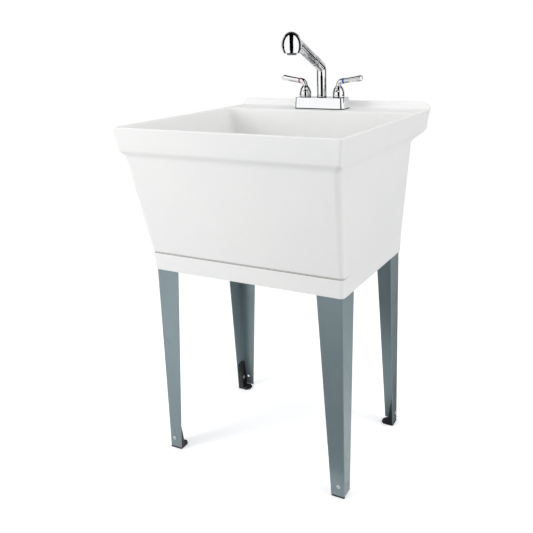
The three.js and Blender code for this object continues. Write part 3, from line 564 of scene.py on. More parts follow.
def tub_loop(values):
    """One level of the tub. A groove runs round the front and ends behind the front corners."""
    half, front, rear, radius, z, groove = values
    outline = np.array(rounded_rectangle(half, front, rear, radius))
    centre_y = front + radius
    for point in outline:
        share = groove * ease((centre_y + GROOVE_REACH - point[1]) / GROOVE_FADE)
        if share > 0:
            inner = np.array((np.clip(point[0], radius - half, half - radius), centre_y))
            outward = point - inner
            point -= outward / max(np.linalg.norm(outward), 1e-6) * GROOVE_DEPTH * share
    return level(outline, z)


def tub_outside_and_basin():
    """Up the outside, over the rim and down to the drain."""
    foot = (SKIRT_HALF, SKIRT_FRONT, SKIRT_REAR, 10.0)
    head = (259.0, -224.0, 163.5, 11.5)
    top = (279.5, -278.5, 183.0, 20.0)

    def on_body(z):
        share = (z - BODY_FOOT) / (BODY_TOP - BODY_FOOT)
        return (*[between(a, b, share) for a, b in zip(head, top)], z)

    rows = [
        (255.5, -218.5, 158.0, 8.5, 505),
        (*foot, 505, 1.4),
        (*head, 548.9, 0.5),
        (*head, 549.4, 0.2, 1.0),
        (*on_body(552.2), 0.4, 1.0),
        (*on_body(553.6), 1.2),
        on_body(680),
        on_body(785),
        (*on_body(800.5), 10.0),
        (282.8, -287.0, 287.0, 6.2, 811.4, 5.0),
        (286.7, -291.5, 291.5, 7.2, 839),
        (290.5, -295.0, 295.0, 8.0, RIM_HEIGHT, 3.2),
        (281.4, -286.0, 184.0, 19.0, RIM_HEIGHT, 2.8),
        (279.4, -283.6, 182.5, 19.5, 860),
        (274.5, -273.5, 178.0, 19.0, 810, 14),
        (264.7, -247.4, 168.7, 20.0, 687),
        (254.4, -220.0, 158.8, 22.0, 538, 24),
        (44.0, -74.0, 13.5, 43.0, 535.2, 1.0),
        (40.7, -70.9, 10.4, 40.2, 534.8, 0.5),
        (40.6, -70.8, 10.3, 40.1, 532.7, 0.5),
        (30.0, -60.2, -0.3, 29.6, 532.7),
    ]
    return loft([tub_loop(values) for values in rounded_stations(rows)])


def backsplash_solid():
    """The raised strip at the back, with round ends."""
    profile = [
        (293.4, 858.0), (294.6, 866.5), (294.9, 870.0), (294.9, 882.4), (294.2, 884.6), (292.6, 885.7),
        (290.6, 886.0), (287.6, 886.0), (286.0, 885.4), (285.0, 883.9), (281.6, 876.5), (279.0, 871.4),
        (277.0, 869.4), (274.6, 868.5), (272.0, 868.1), (270.0, 867.3), (268.0, 860.0),
    ]
    end, radius, crest, low_crest = 290.2, 17.0, 18.0, 0.9
    arc = [end - radius + radius * sin(radians(a)) for a in range(0, 91, 6)]
    places = sorted({-x for x in arc} | set(arc) | set(np.linspace(radius - end, end - radius, 30)))
    loops = []
    for x in places:
        past = max(abs(x) - (end - radius), 0.0)
        height = max(crest - radius + sqrt(max(radius**2 - past**2, 0.0)), low_crest)
        loops.append([
            (x, y, z if z < RIM_HEIGHT else between(RIM_HEIGHT, z, height / crest)) for y, z in profile
        ])
    return loft(loops)


def corner_matrix(side_x, side_y):
    """The frame of one leg: its outer corner at the origin, its flanges along +X and +Y."""
    x, front, rear = 253.4, -216.4, 155.9
    return at(side_x * x, front if side_y < 0 else rear) @ Matrix.Diagonal((-side_x, -side_y, 1, 1))


CORNERS = {
    "front_left": (-1, -1), "front_right": (1, -1), "rear_left": (-1, 1), "rear_right": (1, 1),
}
# Where the screw goes that holds a leg in its socket: along its flange and up.
LEG_SCREW = (38.0, 517.0)


def skirt_space():
    """The hollow of the skirt, with the L-shaped walls that close the legs' sockets left standing."""
    loops = []
    for inset, z in ((2.9, 500), (2.9, 504), (3.8, 506), (3.8, 530)):
        outline = rounded_rectangle(SKIRT_HALF - inset, SKIRT_FRONT + inset, SKIRT_REAR - inset, 6.5)
        loops.append(level(outline, z))
    wall = prism(fillet([
        (2.4, 2.4, 1.5), (67, 2.4, 0), (67, 5.4, 1.0), (5.4, 5.4, 2.0), (5.4, 67, 1.0), (2.4, 67, 0),
    ]), 508, 540)
    walls = [moved(wall, corner_matrix(*sides)) for sides in CORNERS.values()]
    return combined(object_of("skirt_space", loft(loops)), walls, "DIFFERENCE")


def deck_space():
    """The hollow under the deck, with its ribs left standing."""
    front = 183.6
    low = rounded_rectangle(278, front, 283, 5, side_steps=2)
    mouth = rounded_rectangle(279, front, 284, 6, side_steps=2)
    high = rounded_rectangle(285.5, 188, 290, 5, side_steps=2)
    levels = ((mouth, 785.0), (mouth, 809.6), (low, 811.0), (high, 863.0))
    space = loft([level(outline, z) for outline, z in levels])
    ribs = [block(x - 2, x + 2, 175, 300, 837, 870) for x in (-205, -115, 115, 205)]
    return combined(object_of("deck_space", space), ribs, "DIFFERENCE")


def deck_hole(radius, x):
    """A hole for the faucet, with a rounded mouth."""
    top, low = RIM_HEIGHT + 7, RIM_HEIGHT - 10
    profile = [
        (0, low), (radius, low), (radius, RIM_HEIGHT - 1.2), (radius + 1.2, RIM_HEIGHT + 0.4),
        (radius + 1.2, top), (0, top),
    ]
    return shifted(lathe(profile, 40), x, FAUCET_Y)


def make_tub():
    tub = object_of("tub_shell", tub_outside_and_basin())
    combined(tub, [backsplash_solid()], "UNION")
    combined(tub, [mesh_solid(skirt_space()), mesh_solid(deck_space())], "DIFFERENCE")
    boss = lathe([(0, 523.95), (43.8, 523.95), (45, 525.1), (45.6, 532), (0, 532)], 64)
    combined(tub, [shifted(boss, 0, DRAIN_Y)], "UNION")
    holes = [shifted(rod(DRAIN_HOLE, 500, 540, 48), 0, DRAIN_Y)]
    holes += [deck_hole(SHANK_HOLE, x) for x in (-SHANK, SHANK)] + [deck_hole(STEM_HOLE, 0)]
    screw_hole = moved(rod(LEG_SCREW_HOLE, -2, 8, 24), at(0, *LEG_SCREW, 90, "Y"))
    holes += [moved(screw_hole, corner_matrix(*sides)) for sides in CORNERS.values()]
    combined(tub, holes, "DIFFERENCE")
    finish_piece(tub, WHITE, "sink", "tub", sharp=28.0)


# ---------------- drain

def hexagon(radius):
    return fillet([(x, y, 1.0) for x, y in circle(radius, 6)], steps=2)


def lobed(radius, rise, lobes, offset, span, sides):
    """A round outline with lobes that rise from it."""
    outline = []
    for i in range(sides):
        angle = 2 * pi * i / sides
        reach = radius + rise * ease((cos(lobes * angle) + offset) / span)
        outline.append((reach * cos(angle), reach * sin(angle)))
    return outline


def threads(radius, z0, z1, pitch, depth=0.5):
    """The outline of a threaded length, as a lathe profile."""
    profile = []
    z = z0
    while z < z1 - pitch:
        profile += [(radius, z), (radius - depth, z + pitch / 2)]
        z += pitch
    return profile + [(radius, z1)]


def make_drain():
    bore, tail_bore, tail = 22.3, 17.6, 19.0

    def add(name, solid, finish, node, body="sink"):
        piece(name, shifted(solid, 0, DRAIN_Y), finish, body, node)

    flange = turned_ring([
        (tail, 483, 0.4), (22, 483, 0.6), (22, 533.0, 0.3), (40, 533.0, 0.5), (40, 534.1, 0.5),
        (37, 535, 1.5), (24, 534.2, 2.0), (tail, 530, 3.0),
    ], 72)
    seat = lathe([(19.3, 517), (19.3, 520), (17.8, 520), (17.8, 517)], 64, ring=True)
    bar = block(-19.4, 19.4, -1.2, 1.2, 516.2, 519.0)
    bars = [moved(bar, at(turn=turn)) for turn in (0, 60, 120)]
    middle = turned([(0, 515.8, 0), (5, 515.8, 0.5), (5, 519.6, 0.8), (0, 519.8, 0)], 32)
    add("drain_strainer", together(flange, seat, *bars, middle), STAINLESS, "drain_flange")
    gasket = [(bore, 520.7, 0.5), (40, 520.7, 1.0), (40, 523.7, 1.0), (bore, 523.7, 0.5)]
    add("drain_seal", turned_ring(gasket, 64), RUBBER, "drain_gasket")
    nut = plate(lobed(31.0, 3.0, 8, 0.55, 0.6, 96), [circle(bore, 48)], 8.0, 0.8)
    add("drain_ring_nut", shifted(nut, z=512.4), BRASS, "drain_locknut")
    washer = tube_wall(tail_bore, 21.7, 480.7, 482.7, 0.3, sides=64, steps=4)
    add("tail_washer", washer, NYLON, "tailpiece_washer")
    tube = turned_ring([
        (tail_bore, 444.4, 0.5), (tail, 444.4, 0.5), (tail, 478.4, 0.3), (21.7, 478.4, 0.4),
        (21.7, 480.4, 0.4), (tail_bore, 480.4, 0.4),
    ], 72)
    add("tail_tube", tube, CHROME, "tailpiece")
    cap = plate(hexagon(28.8), [circle(bore, 48)], 16.0, 0.9)
    lip = plate(hexagon(28.8), [circle(19.3, 48)], 2.6, 0.9)
    add("slip_nut", together(shifted(cap, z=478.1), shifted(lip, z=476.1)), CHROME, "tailpiece_nut")
    plug = turned([
        (0, 523.3, 0), (16.5, 523.3, 1.5), (18.2, 526, 1.5), (18.4, 535.3, 0.2), (23, 535.3, 0.6),
        (23, 537.6, 1.4), (20.5, 538.3, 0.6), (6.5, 538.3, 2.0), (4.2, 541.5, 1.5), (4.0, 546.0, 1.5),
        (8.0, 548.4, 1.2), (8.0, 551.0, 1.2), (5.8, 552.3, 1.5), (0, 552.3, 0),
    ], 64)
    add("stopper_plug", plug, RUBBER, "drain_stopper", body="stopper")


# ---------------- legs and feet

LEG_FOOT, LEG_TOP = 5.0, 529.7
# Where a foot's screw and the empty hole beside it go through the flanges: along and up.
FOOT_SCREW, SPARE_HOLE = (14.5, 30.0), (17.0, 30.0)


def leg_level(z):
    """The angle's section at a height: both flanges widen upwards."""
    flange, sheet, edge = between(34.0, 64.0, (z - LEG_FOOT) / 500), 1.8, 0.45
    outline = fillet([
        (0, 0, 3.0), (flange, 0, edge), (flange, sheet, edge), (sheet, sheet, 1.3),
        (sheet, flange, edge), (0, flange, edge),
    ], steps=5)
    return level(outline, z)


def pan_screw(head_radius, head_height, shank_radius, length, turns):
    """A pan-head screw with a cross recess: the head above z = 0, the thread below."""
    head = fillet([
        (0, head_height, 0), (head_radius * 0.55, head_height, 1.5),
        (head_radius, head_height * 0.42, 1.2), (head_radius, 0, 0.3), (shank_radius, 0, 0.2),
    ], closed=False)
    pitch = length / turns
    thread = []
    for i in range(turns):
        z = -i * pitch
        thread += [(shank_radius, z - 0.15 * pitch), (shank_radius * 0.82, z - 0.6 * pitch)]
    screw = object_of("screw", lathe(head + thread + [(shank_radius * 0.7, -length), (0, -length)], 40))
    low, high = head_height * 0.45, head_height + 1
    long, half = head_radius * 0.55, 0.42
    slots = [block(-x, x, -y, y, low, high) for x, y in ((long, half), (half, long))]
    return mesh_solid(combined(screw, slots, "DIFFERENCE"))


def foot_solid():
    """A levelling foot in its corner's frame, hung on the flange along +X."""
    inner, back, end = 2.1, 5.1, 33.7
    pad = plate(fillet([
        (0.2, 0.2, 0.6), (end, 0.2, 1.0), (end, 28.0, 2.0), (25.5, 35.8, 2.0), (11.5, 35.8, 2.0),
        (4.2, 28.5, 2.0), (4.2, 8.4, 1.0), (0.2, 4.4, 0.6),
    ]), [], 4.7, 0.6)
    tread = [(6.2, inner, 0), (end - 0.2, inner, 0), (end - 0.2, 28, 1.5), (6.2, 28, 1.5)]
    slot = fillet([(11.4, 26.9, 2.6), (17.6, 26.9, 2.6), (17.6, 53.1, 2.6), (11.4, 53.1, 2.6)], steps=6)
    wall = fillet([(inner, 0.6, 0), (end, 0.6, 0), (end, 83, 9), (inner, 83, 9)], steps=8)
    boss = fillet([(8.6, 24.0, 4.5), (20.4, 24.0, 4.5), (20.4, 56, 4.5), (8.6, 56, 4.5)], steps=6)
    parts = [
        pad, shifted(plate(fillet(tread), [], 3.6, 0.6), z=4.1),
        moved(plate(wall, [slot], 3.0, 0.5), at(0, back, 0, 90, "X")),
        moved(plate(boss, [slot], 1.2, 0.3), at(0, back + 0.3, 0, 90, "X")),
    ]
    corner_web = [(11.5, 0.8, 1), (11.0, 32, 4), (7.5, 62, 3)]
    outer_web = [(16.2, 0.8, 1), (15.4, 14, 4), (8.4, 57, 4), (5.8, 70, 1)]
    upright = Matrix(((0, 0, 1, 0), (1, 0, 0, 0), (0, 1, 0, 0), (0, 0, 0, 1)))
    for x, edge in ((inner, corner_web), (end - 3.0, outer_web)):
        web = plate(fillet([(back - 0.4, 0.8, 0), *edge, (back - 0.4, 73, 0)], steps=3), [], 3.0, 0.5)
        parts.append(shifted(moved(web, upright), x))
    gusset = plate(fillet([(back, 4, 0), (15.5, 4, 0.5), (back, 22, 0.5)], steps=2), [], 2.0, 0.4)
    return together(*parts, shifted(moved(gusset, upright), 24.0))


def make_leg(name, side_x, side_y):
    corner = corner_matrix(side_x, side_y)
    # A rear foot hangs on the other flange.
    swap = Matrix(((0, 1, 0, 0), (1, 0, 0, 0), (0, 0, 1, 0), (0, 0, 0, 1)))
    foot_corner = corner @ swap if side_y > 0 else corner
    foot_x, foot_z = FOOT_SCREW
    angle = loft([leg_level(z) for z in np.linspace(LEG_FOOT, LEG_TOP, 16)])
    leg = object_of(f"leg_angle_{name}", moved(angle, corner))
    combined(leg, [
        moved(rod(LEG_SCREW_HOLE, -5, 5, 32), corner @ at(0, *LEG_SCREW, 90, "Y")),
        moved(rod(2.8, -5, 5, 32), foot_corner @ at(foot_x, 0, foot_z, -90, "X")),
        moved(rod(3.4, -5, 5, 32), foot_corner @ at(0, *SPARE_HOLE, 90, "Y")),
    ], "DIFFERENCE")
    finish_piece(leg, PAINT, "sink", f"leg_{name}", sharp=30.0)
    screw = pan_screw(head_radius=4.0, head_height=2.5, shank_radius=1.95, length=6.9, turns=5)
    screw = moved(screw, corner @ at(5.4, *LEG_SCREW, 90, "Y"))
    piece(f"socket_screw_{name}", screw, ZINC, "sink", f"leg_screw_{name}", sharp=40.0)
    foot = moved(foot_solid(), foot_corner)
    piece(f"levelling_foot_{name}", foot, BLACK, f"{name}_foot", f"foot_{name}", sharp=30.0)
    bolt = pan_screw(head_radius=5.0, head_height=2.4, shank_radius=2.45, length=8.8, turns=7)
    bolt = moved(bolt, foot_corner @ at(foot_x, -GAP, foot_z, 90, "X"))
    piece(f"levelling_screw_{name}", bolt, ZINC, "sink", f"foot_screw_{name}", sharp=40.0)
    nut = plate(hexagon(4.95), [circle(2.8, 32)], 3.2, 0.35)
    nut = moved(nut, foot_corner @ at(foot_x, 5.4, foot_z, -90, "X"))
    piece(f"levelling_nut_{name}", nut, ZINC, "sink", f"foot_nut_{name}", sharp=40.0)


# ---------------- faucet, in the deck's frame

DECK = at(0, FAUCET_Y, RIM_HEIGHT)
COVER_TOP = 31.0


def make_base():
    foot, taper, edge = 2.0, 2.0, 1.1
    side = fillet([(0.0, foot + 0.7, 0), (taper, COVER_TOP, edge), (taper + 12, COVER_TOP, 0)], False, 7)
    loops = []
    for inset, z in [(0.7, foot), (0.0, foot + 0.7), *side[1:-1], (taper + 6, COVER_TOP)]:
        outline = rounded_rectangle(75 - inset, inset - 27, 27 - inset, max(10.5 - inset * 0.6, 5), 12, 10)
        loops.append(level(outline, z))
    piece("faucet_cover", moved(loft(loops), DECK), CHROME, "sink", "faucet_base", sharp=40.0)
    window = rounded_rectangle(52, -4.5, 4.5, 4.4, 8, 4)
    pad = plate(rounded_rectangle(74.5, -26.5, 26.5, 8.5, 8, 4), [window], 1.4, 0.4)
    piece("cover_pad", moved(pad, DECK @ at(z=GAP)), RUBBER, "sink", "deck_gasket")


def make_waterway():
    shank = [(6.0, -53), (9.6, -53)] + threads(10.35, -52, -7, 2.0, 0.8) + [(10.35, 4), (6.0, 4)]
    collar = turned([(0, 3, 0), (13, 3, 0.5), (13, 24, 1.0), (0, 24, 0)], 40)
    stem = [(7.4, -28), (9.3, -28)] + threads(9.95, -27, -6, 1.8, 0.7) + [(9.95, 59), (9.5, 60), (7.4, 60)]
    nipple = [(3, -20), (4.4, -20), (5, -19), (5, 4), (3, 4)]
    parts = []
    for x in (-SHANK, SHANK):
        parts += [shifted(lathe(shank, 48, ring=True), x), shifted(collar, x)]
    parts += [lathe(stem, 48, ring=True), shifted(lathe(nipple, 32, ring=True), 26)]
    parts.append(block(-62, 62, -14, 14, 2.4, 18))
    piece("faucet_body", moved(together(*parts), DECK), GREY, "sink", "waterway", sharp=35.0)


def make_mounting_nut(side, x):
    bore = [circle(10.75, 40)]
    wings = plate(lobed(17.2, 2.6, 6, 0.4, 0.8, 72), bore, 8.0, 0.8)
    nut = together(shifted(wings, z=-17.3), shifted(plate(circle(19.4, 64), bore, 4.0, 0.8), z=-9.3))
    piece(f"deck_nut_{side}", moved(nut, DECK @ at(x)), GREY, "sink", f"mounting_nut_{side}", sharp=35.0)


def make_cartridge(side, x):
    valve = turned([
        (0, 10.6, 0), (8.7, 10.6, 0.5), (8.7, 24.3, 0.4), (8, 24.3, 0.3), (8, 37, 0.8), (4, 37, 0.5),
        (4, 56, 0.8), (0, 56, 0),
    ], 40)
    piece(f"valve_{side}", moved(valve, DECK @ at(x)), BRASS, "sink", f"cartridge_{side}", sharp=35.0)


# A lever rises by LIFT degrees, from the end of its hub's neck: out and up.
LIFT = 8.5
NECK = (13.5, 75.5)
NECK_RADIUS = 7.5
HUB_FOOT, HUB_RADIUS, HUB_BEND = COVER_TOP + GAP, 16.6, 13.0
SET_SCREW_HEIGHT = 45.0
# The hub's bell: heights over its foot and shares of its radius.
HUB_BELL = [
    (0.0, 0.965), (2.0, 0.985), (5.5, 0.998), (9.5, 1.0), (13.0, 0.99), (17.0, 0.945), (21.0, 0.87),
    (24.5, 0.77), (27.5, 0.65), (29.8, 0.54),
]


def hub_path():
    """Up the hub, round the neck and out to the lever: points and radii."""
    lift = radians(LIFT)
    turn = pi / 2 - lift
    straight = (NECK[0] - HUB_BEND * (1 - cos(turn))) / cos(lift)
    bend_foot = NECK[1] - HUB_BEND * sin(turn) - straight * sin(lift)
    waist = NECK_RADIUS * 0.965
    bell = [(HUB_FOOT + height, HUB_RADIUS * share) for height, share in HUB_BELL] + [(bend_foot, waist)]
    path = [((0, 0, HUB_FOOT), bell[0][1] - 0.8), ((0, 0, HUB_FOOT + 0.35), bell[0][1] - 0.15)]
    path += [((0, 0, z), radius) for z, radius in smooth_steps(bell, 4)[1:]]
    steps = 14
    for step in range(1, steps + 1):
        angle = turn * step / steps
        point = (HUB_BEND * (1 - cos(angle)), 0, bend_foot + HUB_BEND * sin(angle))
        path.append((point, between(waist, NECK_RADIUS, ease(step / steps))))
    x, _, z = path[-1][0]
    for travelled, inset in ((straight - 0.4, 0.0), (straight - 0.1, 0.12), (straight, 0.4)):
        point = (x + cos(lift) * travelled, 0, z + sin(lift) * travelled)
        path.append((point, NECK_RADIUS - inset))
    return zip(*path)


def along_lever(solid):
    return moved(solid, at(NECK[0], 0, NECK[1], 90 - LIFT, "Y"))


def make_handle(side, x, turn, ring_finish):
    place = DECK @ at(x, turn=turn)
    body = f"{side}_handle"
    points, radii = hub_path()
    hub = object_of(f"hub_{side}", moved(swept(points, radii, 56), place))
    outward = place @ at(z=SET_SCREW_HEIGHT, turn=-90, axis="Y")
    combined(hub, [moved(rod(2.3, 4, 30, 24), outward)], "DIFFERENCE")
    finish_piece(hub, CHROME, body, f"handle_hub_{side}", sharp=50.0)
    screw = object_of("screw", turned([(0, 0, 0), (2, 0, 0), (2, 11, 0.4), (0, 11, 0)], 24))
    combined(screw, [prism(circle(1.15, 6), 8.8, 12)], "DIFFERENCE")
    screw = moved(mesh_solid(screw), outward @ at(z=4.6))
    piece(f"set_screw_{side}", screw, ZINC, body, f"handle_screw_{side}", sharp=35.0)
    ring = turned_ring([(5.1, 0.3, 0.2), (7.5, 0.3, 0.4), (7.5, 3.9, 0.4), (5.1, 3.9, 0.2)], 56, 3)
    ring = moved(along_lever(ring), place)
    piece(f"colour_ring_{side}", ring, ring_finish, body, f"index_ring_{side}", sharp=40.0)
    grip = smooth_steps([(6.7, 5.0), (6.65, 12), (6.75, 22), (7.0, 33), (7.4, 43), (7.8, 51.5)], 4)
    tip = fillet([(7.8, 51.6, 0), (7.8, 53.6, 1.1), (3.9, 58.4, 1.2), (0, 59.0, 0)], False, 6)
    lever = moved(along_lever(lathe([(0, 4.2), (6.3, 4.2), (6.6, 4.45), *grip, *tip])), place)
    piece(f"lever_{side}", lever, CHROME, body, f"handle_lever_{side}", sharp=50.0)


# The spout's centre line rises straight, bends forward by SPOUT_TURN and runs on to the wand's seat.
SPOUT_RADIUS, SPOUT_BORE, SPOUT_FOOT = 13.6, 12.0, COVER_TOP + GAP
SPOUT_RISE, SPOUT_BEND, SPOUT_TURN = 70.2, 18.0, radians(65)
BEND_END = SPOUT_RISE + SPOUT_BEND * SPOUT_TURN
SPOUT_LENGTH = BEND_END + 28.7


def spout_turn(travelled):
    return min(max((travelled - SPOUT_RISE) / SPOUT_BEND, 0), SPOUT_TURN)


def spout_point(travelled):
    turn = spout_turn(travelled)
    beyond = max(travelled - BEND_END, 0)
    forward = SPOUT_BEND * (1 - cos(turn)) + beyond * sin(turn)
    up = SPOUT_FOOT + min(travelled, SPOUT_RISE) + SPOUT_BEND * sin(turn) + beyond * cos(turn)
    return (0, -forward, up)


def along_wand(solid):
    seat = DECK @ at(*spout_point(SPOUT_LENGTH), degrees(SPOUT_TURN), "X")
    return moved(solid, seat)


def make_spout():
    outer, inner = SPOUT_RADIUS, SPOUT_BORE
    bend = list(np.linspace(SPOUT_RISE, BEND_END, 17))
    straight = [*np.linspace(6, SPOUT_RISE - 3, 7), *bend, BEND_END + 8, SPOUT_LENGTH - 6]
    profile = [(0.0, outer - 0.5), (0.4, outer - 0.1), (0.8, outer)] + [(z, outer) for z in straight]
    lip = 0.5
    for angle in range(0, 91, 15):
        turn = radians(angle)
        profile.append((SPOUT_LENGTH - lip * (1 - sin(turn)), outer - lip * (1 - cos(turn))))
    profile += [(SPOUT_LENGTH, inner + 0.05), (SPOUT_LENGTH - 0.4, inner), (SPOUT_LENGTH - 20, inner)]
    profile += [(z, inner) for z in (*reversed(bend), SPOUT_RISE - 8, 30, 0.6)] + [(0.0, inner + 0.3)]
    loops = []
    for travelled, radius in profile:
        here, turn = np.array(spout_point(travelled)), spout_turn(travelled)
        across = np.array((0, cos(turn), sin(turn)))
        loops.append([here + np.array((u, 0, 0)) + v * across for u, v in circle(radius, 72)])
    spout = moved(loft(loops, ring=True), DECK)
    piece("spout_column", spout, CHROME, "swivel_spout", "spout", sharp=40.0)
    bushing = moved(tube_wall(10.3, 11.7, SPOUT_FOOT + 3, SPOUT_FOOT + 19), DECK)
    piece("spout_bearing", bushing, NYLON, "swivel_spout", "spout_bushing")
    bore, sleeve, low, rim_foot, rim_top = 10.3, 11.7, -21, 0.1, 3.4
    dock = turned_ring([
        (sleeve, low, 0.3), (sleeve, rim_foot, 0), (outer, rim_foot, 0.2), (outer, rim_top, 0.3),
        (bore, rim_top, 0.4), (bore, low, 0.3),
    ], 72, 3)
    piece("dock_sleeve", along_wand(dock), BLACK, "swivel_spout", "wand_dock")


HEAD_REACH = 171.5


def fluted_loop(radius, depth):
    """A round section with grooves of the given depth."""
    flutes, sides, half_width = 10, 140, 2.0
    loop = []
    for i in range(sides):
        angle = 2 * pi * i / sides
        place = ((flutes * i / sides + 0.5) % 1.0 - 0.5) * 2 * pi / flutes * radius
        cut = depth * max(0.0, 1 - (place / half_width) ** 2) ** 1.4
        loop.append(((radius - cut) * cos(angle), (radius - cut) * sin(angle)))
    return loop


def wand_grip():
    """The plug, the collar and the grooved grip, along the wand's axis."""
    plug, collar, grip, groove = 9.95, 13.9, 13.4, 1.15
    levels = [
        (-22.0, plug - 0.5), (-21.5, plug), (-12.0, plug), (-11.7, plug - 1.1), (-9.7, plug - 1.1),
        (-9.4, plug), (3.8, plug), (3.8, collar - 0.7), (3.95, collar - 0.25), (4.3, collar),
        (8.2, collar), (8.9, collar - 0.12), (9.4, collar - 0.5), (9.7, collar - 1.3),
        (10.4, collar - 1.3), (10.7, grip - 0.3), (11.4, grip), (13.0, grip), (16.0, grip),
    ]
    levels = [(z, radius, 0.0) for z, radius in levels]
    for z in np.linspace(17, 113, 44):
        levels.append((z, grip, groove * ease((z - 17) / 6) * ease((112 - z) / 8)))
    levels.append((122.0, grip, 0.0))
    return loft([level(fluted_loop(radius, depth), z) for z, radius, depth in levels])


def wand_head():
    """The egg-shaped head, open below for the spray face, about its own axis."""
    bottom, middle, top, ceiling = 154.0, 173.0, 207.0, 187.0
    low_radius, radius, chamber, lip = 21.2, 26.4, 16.3, 2.2
    profile = [
        (0, ceiling), (chamber, ceiling), (chamber, bottom + 1.0), (chamber + 0.35, bottom + 0.25),
        (chamber + 0.9, bottom),
    ]
    for angle in np.linspace(0, pi / 2, 7):
        profile.append((low_radius - lip * (1 - sin(angle)), bottom + lip * (1 - cos(angle))))
    for share in np.linspace(0, 1, 11)[1:]:
        out = between(low_radius, radius, sin(pi / 2 * share))
        profile.append((out, between(bottom + lip, middle, share)))
    for angle in np.linspace(0, pi / 2, 25)[1:]:
        profile.append((radius * cos(angle), between(middle, top, sin(angle))))
    return lathe(profile, 112)


def make_wand():
    over_head = DECK @ at(0, -HEAD_REACH)
    wand = together(along_wand(wand_grip()), moved(wand_head(), over_head))
    piece("spray_wand_body", wand, CHROME, "spray_wand", "wand_body", sharp=38.0)
    face = turned([
        (0, 150.2, 0), (9.4, 150.2, 0.5), (9.9, 149.5, 0.3), (11.2, 149.5, 0.6), (12, 150.6, 0.6),
        (12, 154.2, 0.3), (15.6, 154.4, 0.5), (16, 155.2, 0.3), (16, 162, 0.3), (0, 162, 0),
    ], 72)
    jet = lathe([(0, 145), (0.7, 145), (0.55, 152.5), (0, 152.5)], 10)
    jets = [shifted(jet, x, y) for x, y in circle(3.2, 5) + circle(7.4, 12)]
    nozzle = combined(object_of("nozzle", face), [together(*jets)], "DIFFERENCE")
    nozzle = moved(mesh_solid(nozzle), over_head)
    piece("spray_nozzle", nozzle, GREY, "spray_wand", "spray_face", sharp=35.0)
    connector = along_wand(tube_wall(3.5, 6.2, -34.3, -22.3, 0.5))
    piece("wand_connector", connector, BRASS, "spray_wand", "hose_connector")


# ---------------- stage, light and camera

def make_floor():
    """A round pale floor that thins out into the white around it."""
    radii = np.linspace(0.0, 4000.0, 24)
    floor = object_of("floor", loft([level(circle(r, 64), 0.0) for r in radii], caps=False))
    floor.location.z = -0.0005
    s = Surface("floor_paper")
    seen = s.seen_directly()
    away = s.add("ShaderNodeVectorMath", {0: s.place}, operation="LENGTH").outputs["Value"]
    paper = s.mix(s.cloud(3.0, 3.0), (251, 251, 251), (253, 253, 253))
    s.glow(s.mix(seen, (194, 194, 194), paper), s.maths("MULTIPLY", seen, 0.3))
    s.set(Roughness=0.9, Alpha=s.spread(away, 1.0, 0.0, 0.7, 2.2))
    floor.data.materials.append(s.material)


def card(name, sheet, tone):
    """A sheet that shows in reflections only, at an even brightness."""
    made = object_of(name, sheet)
    for ray in ("camera", "diffuse", "shadow", "transmission", "volume_scatter"):
        setattr(made, f"visible_{ray}", False)
    s = Surface(name)
    s.glow((0, 0, 0, 1), tone)
    made.data.materials.append(s.material)


def flag(name, toward, polar, turn, tone, distance=3.0):
    """Part of a sphere round the faucet, cut off at the floor: ranges in degrees from and round toward."""
    toward = Vector(toward).normalized()
    side = toward.cross(Vector((0, 0, 1))).normalized()
    up = side.cross(toward)
    centre = Vector((0.0, 0.1, 1.0))
    rows, columns = 6, 37
    corners = []
    for a in np.radians(np.linspace(*polar, rows)):
        for b in np.radians(np.linspace(*turn, columns)):
            direction = toward * cos(a) + sin(a) * (side * sin(b) + up * cos(b))
            reach = distance
            if direction.z * distance < -centre.z:
                reach = -centre.z / direction.z
            corners.append(tuple((centre + direction * reach) / MM))
    faces = [
        (k, k + 1, k + columns + 1, k + columns)
        for row in range(rows - 1) for k in range(row * columns, (row + 1) * columns - 1)
    ]
    card(name, (np.array(corners), faces), tone)


TO_CAMERA = (0.43, -0.90, 0.0)
BESIDE_CAMERA = (0.90, 0.43, 0.0)


def flat_card(name, corners, height=0.0005, tone=0.0):
    """A flat card with the given corners, for reflections only."""
    outline = [(x / MM, y / MM, height / MM) for x, y in corners]
    card(name, (np.array(outline), [tuple(range(len(outline)))]), tone)


def head_flags():
    """A disc of cards just under the spray head, from which the sink hides the larger ones."""
    middle, height, core, reach = (0.0, 0.055), 0.985, 0.055, 0.16
    ahead = degrees(atan2(TO_CAMERA[1], TO_CAMERA[0]))
    sectors = [(-20, 20, 0.0), (20, 88, 1.0), (88, 122, 0.0), (238, 272, 0.0), (272, 340, 1.0)]
    for i, (first, last, tone) in enumerate(sectors):
        arc = np.radians(ahead + np.linspace(first, last, 9))
        inner, outer = [
            [(middle[0] + radius * cos(a), middle[1] + radius * sin(a)) for a in arc]
            for radius in (core, reach)
        ]
        flat_card(f"flag_under_head_{i}", outer + inner[::-1], height, tone)
    flat_card("flag_under_head_core", circle(core, 32, *middle), height)


def upright_card(name, x, half_width, high):
    """A narrow dark card that stands before a round faucet part, between it and the camera."""
    ahead, low = 0.028, (RIM_HEIGHT + COVER_TOP + 0.6) * MM
    foot = Vector((x * MM, FAUCET_Y * MM, 0)) + Vector(TO_CAMERA).normalized() * ahead
    side = Vector(BESIDE_CAMERA).normalized() * half_width
    corners = [
        tuple((foot + side * across + Vector((0, 0, z))) / MM)
        for across, z in ((-1, low), (1, low), (1, high), (-1, high))
    ]
    card(name, (np.array(corners), [(0, 1, 2, 3)]), 0.0)


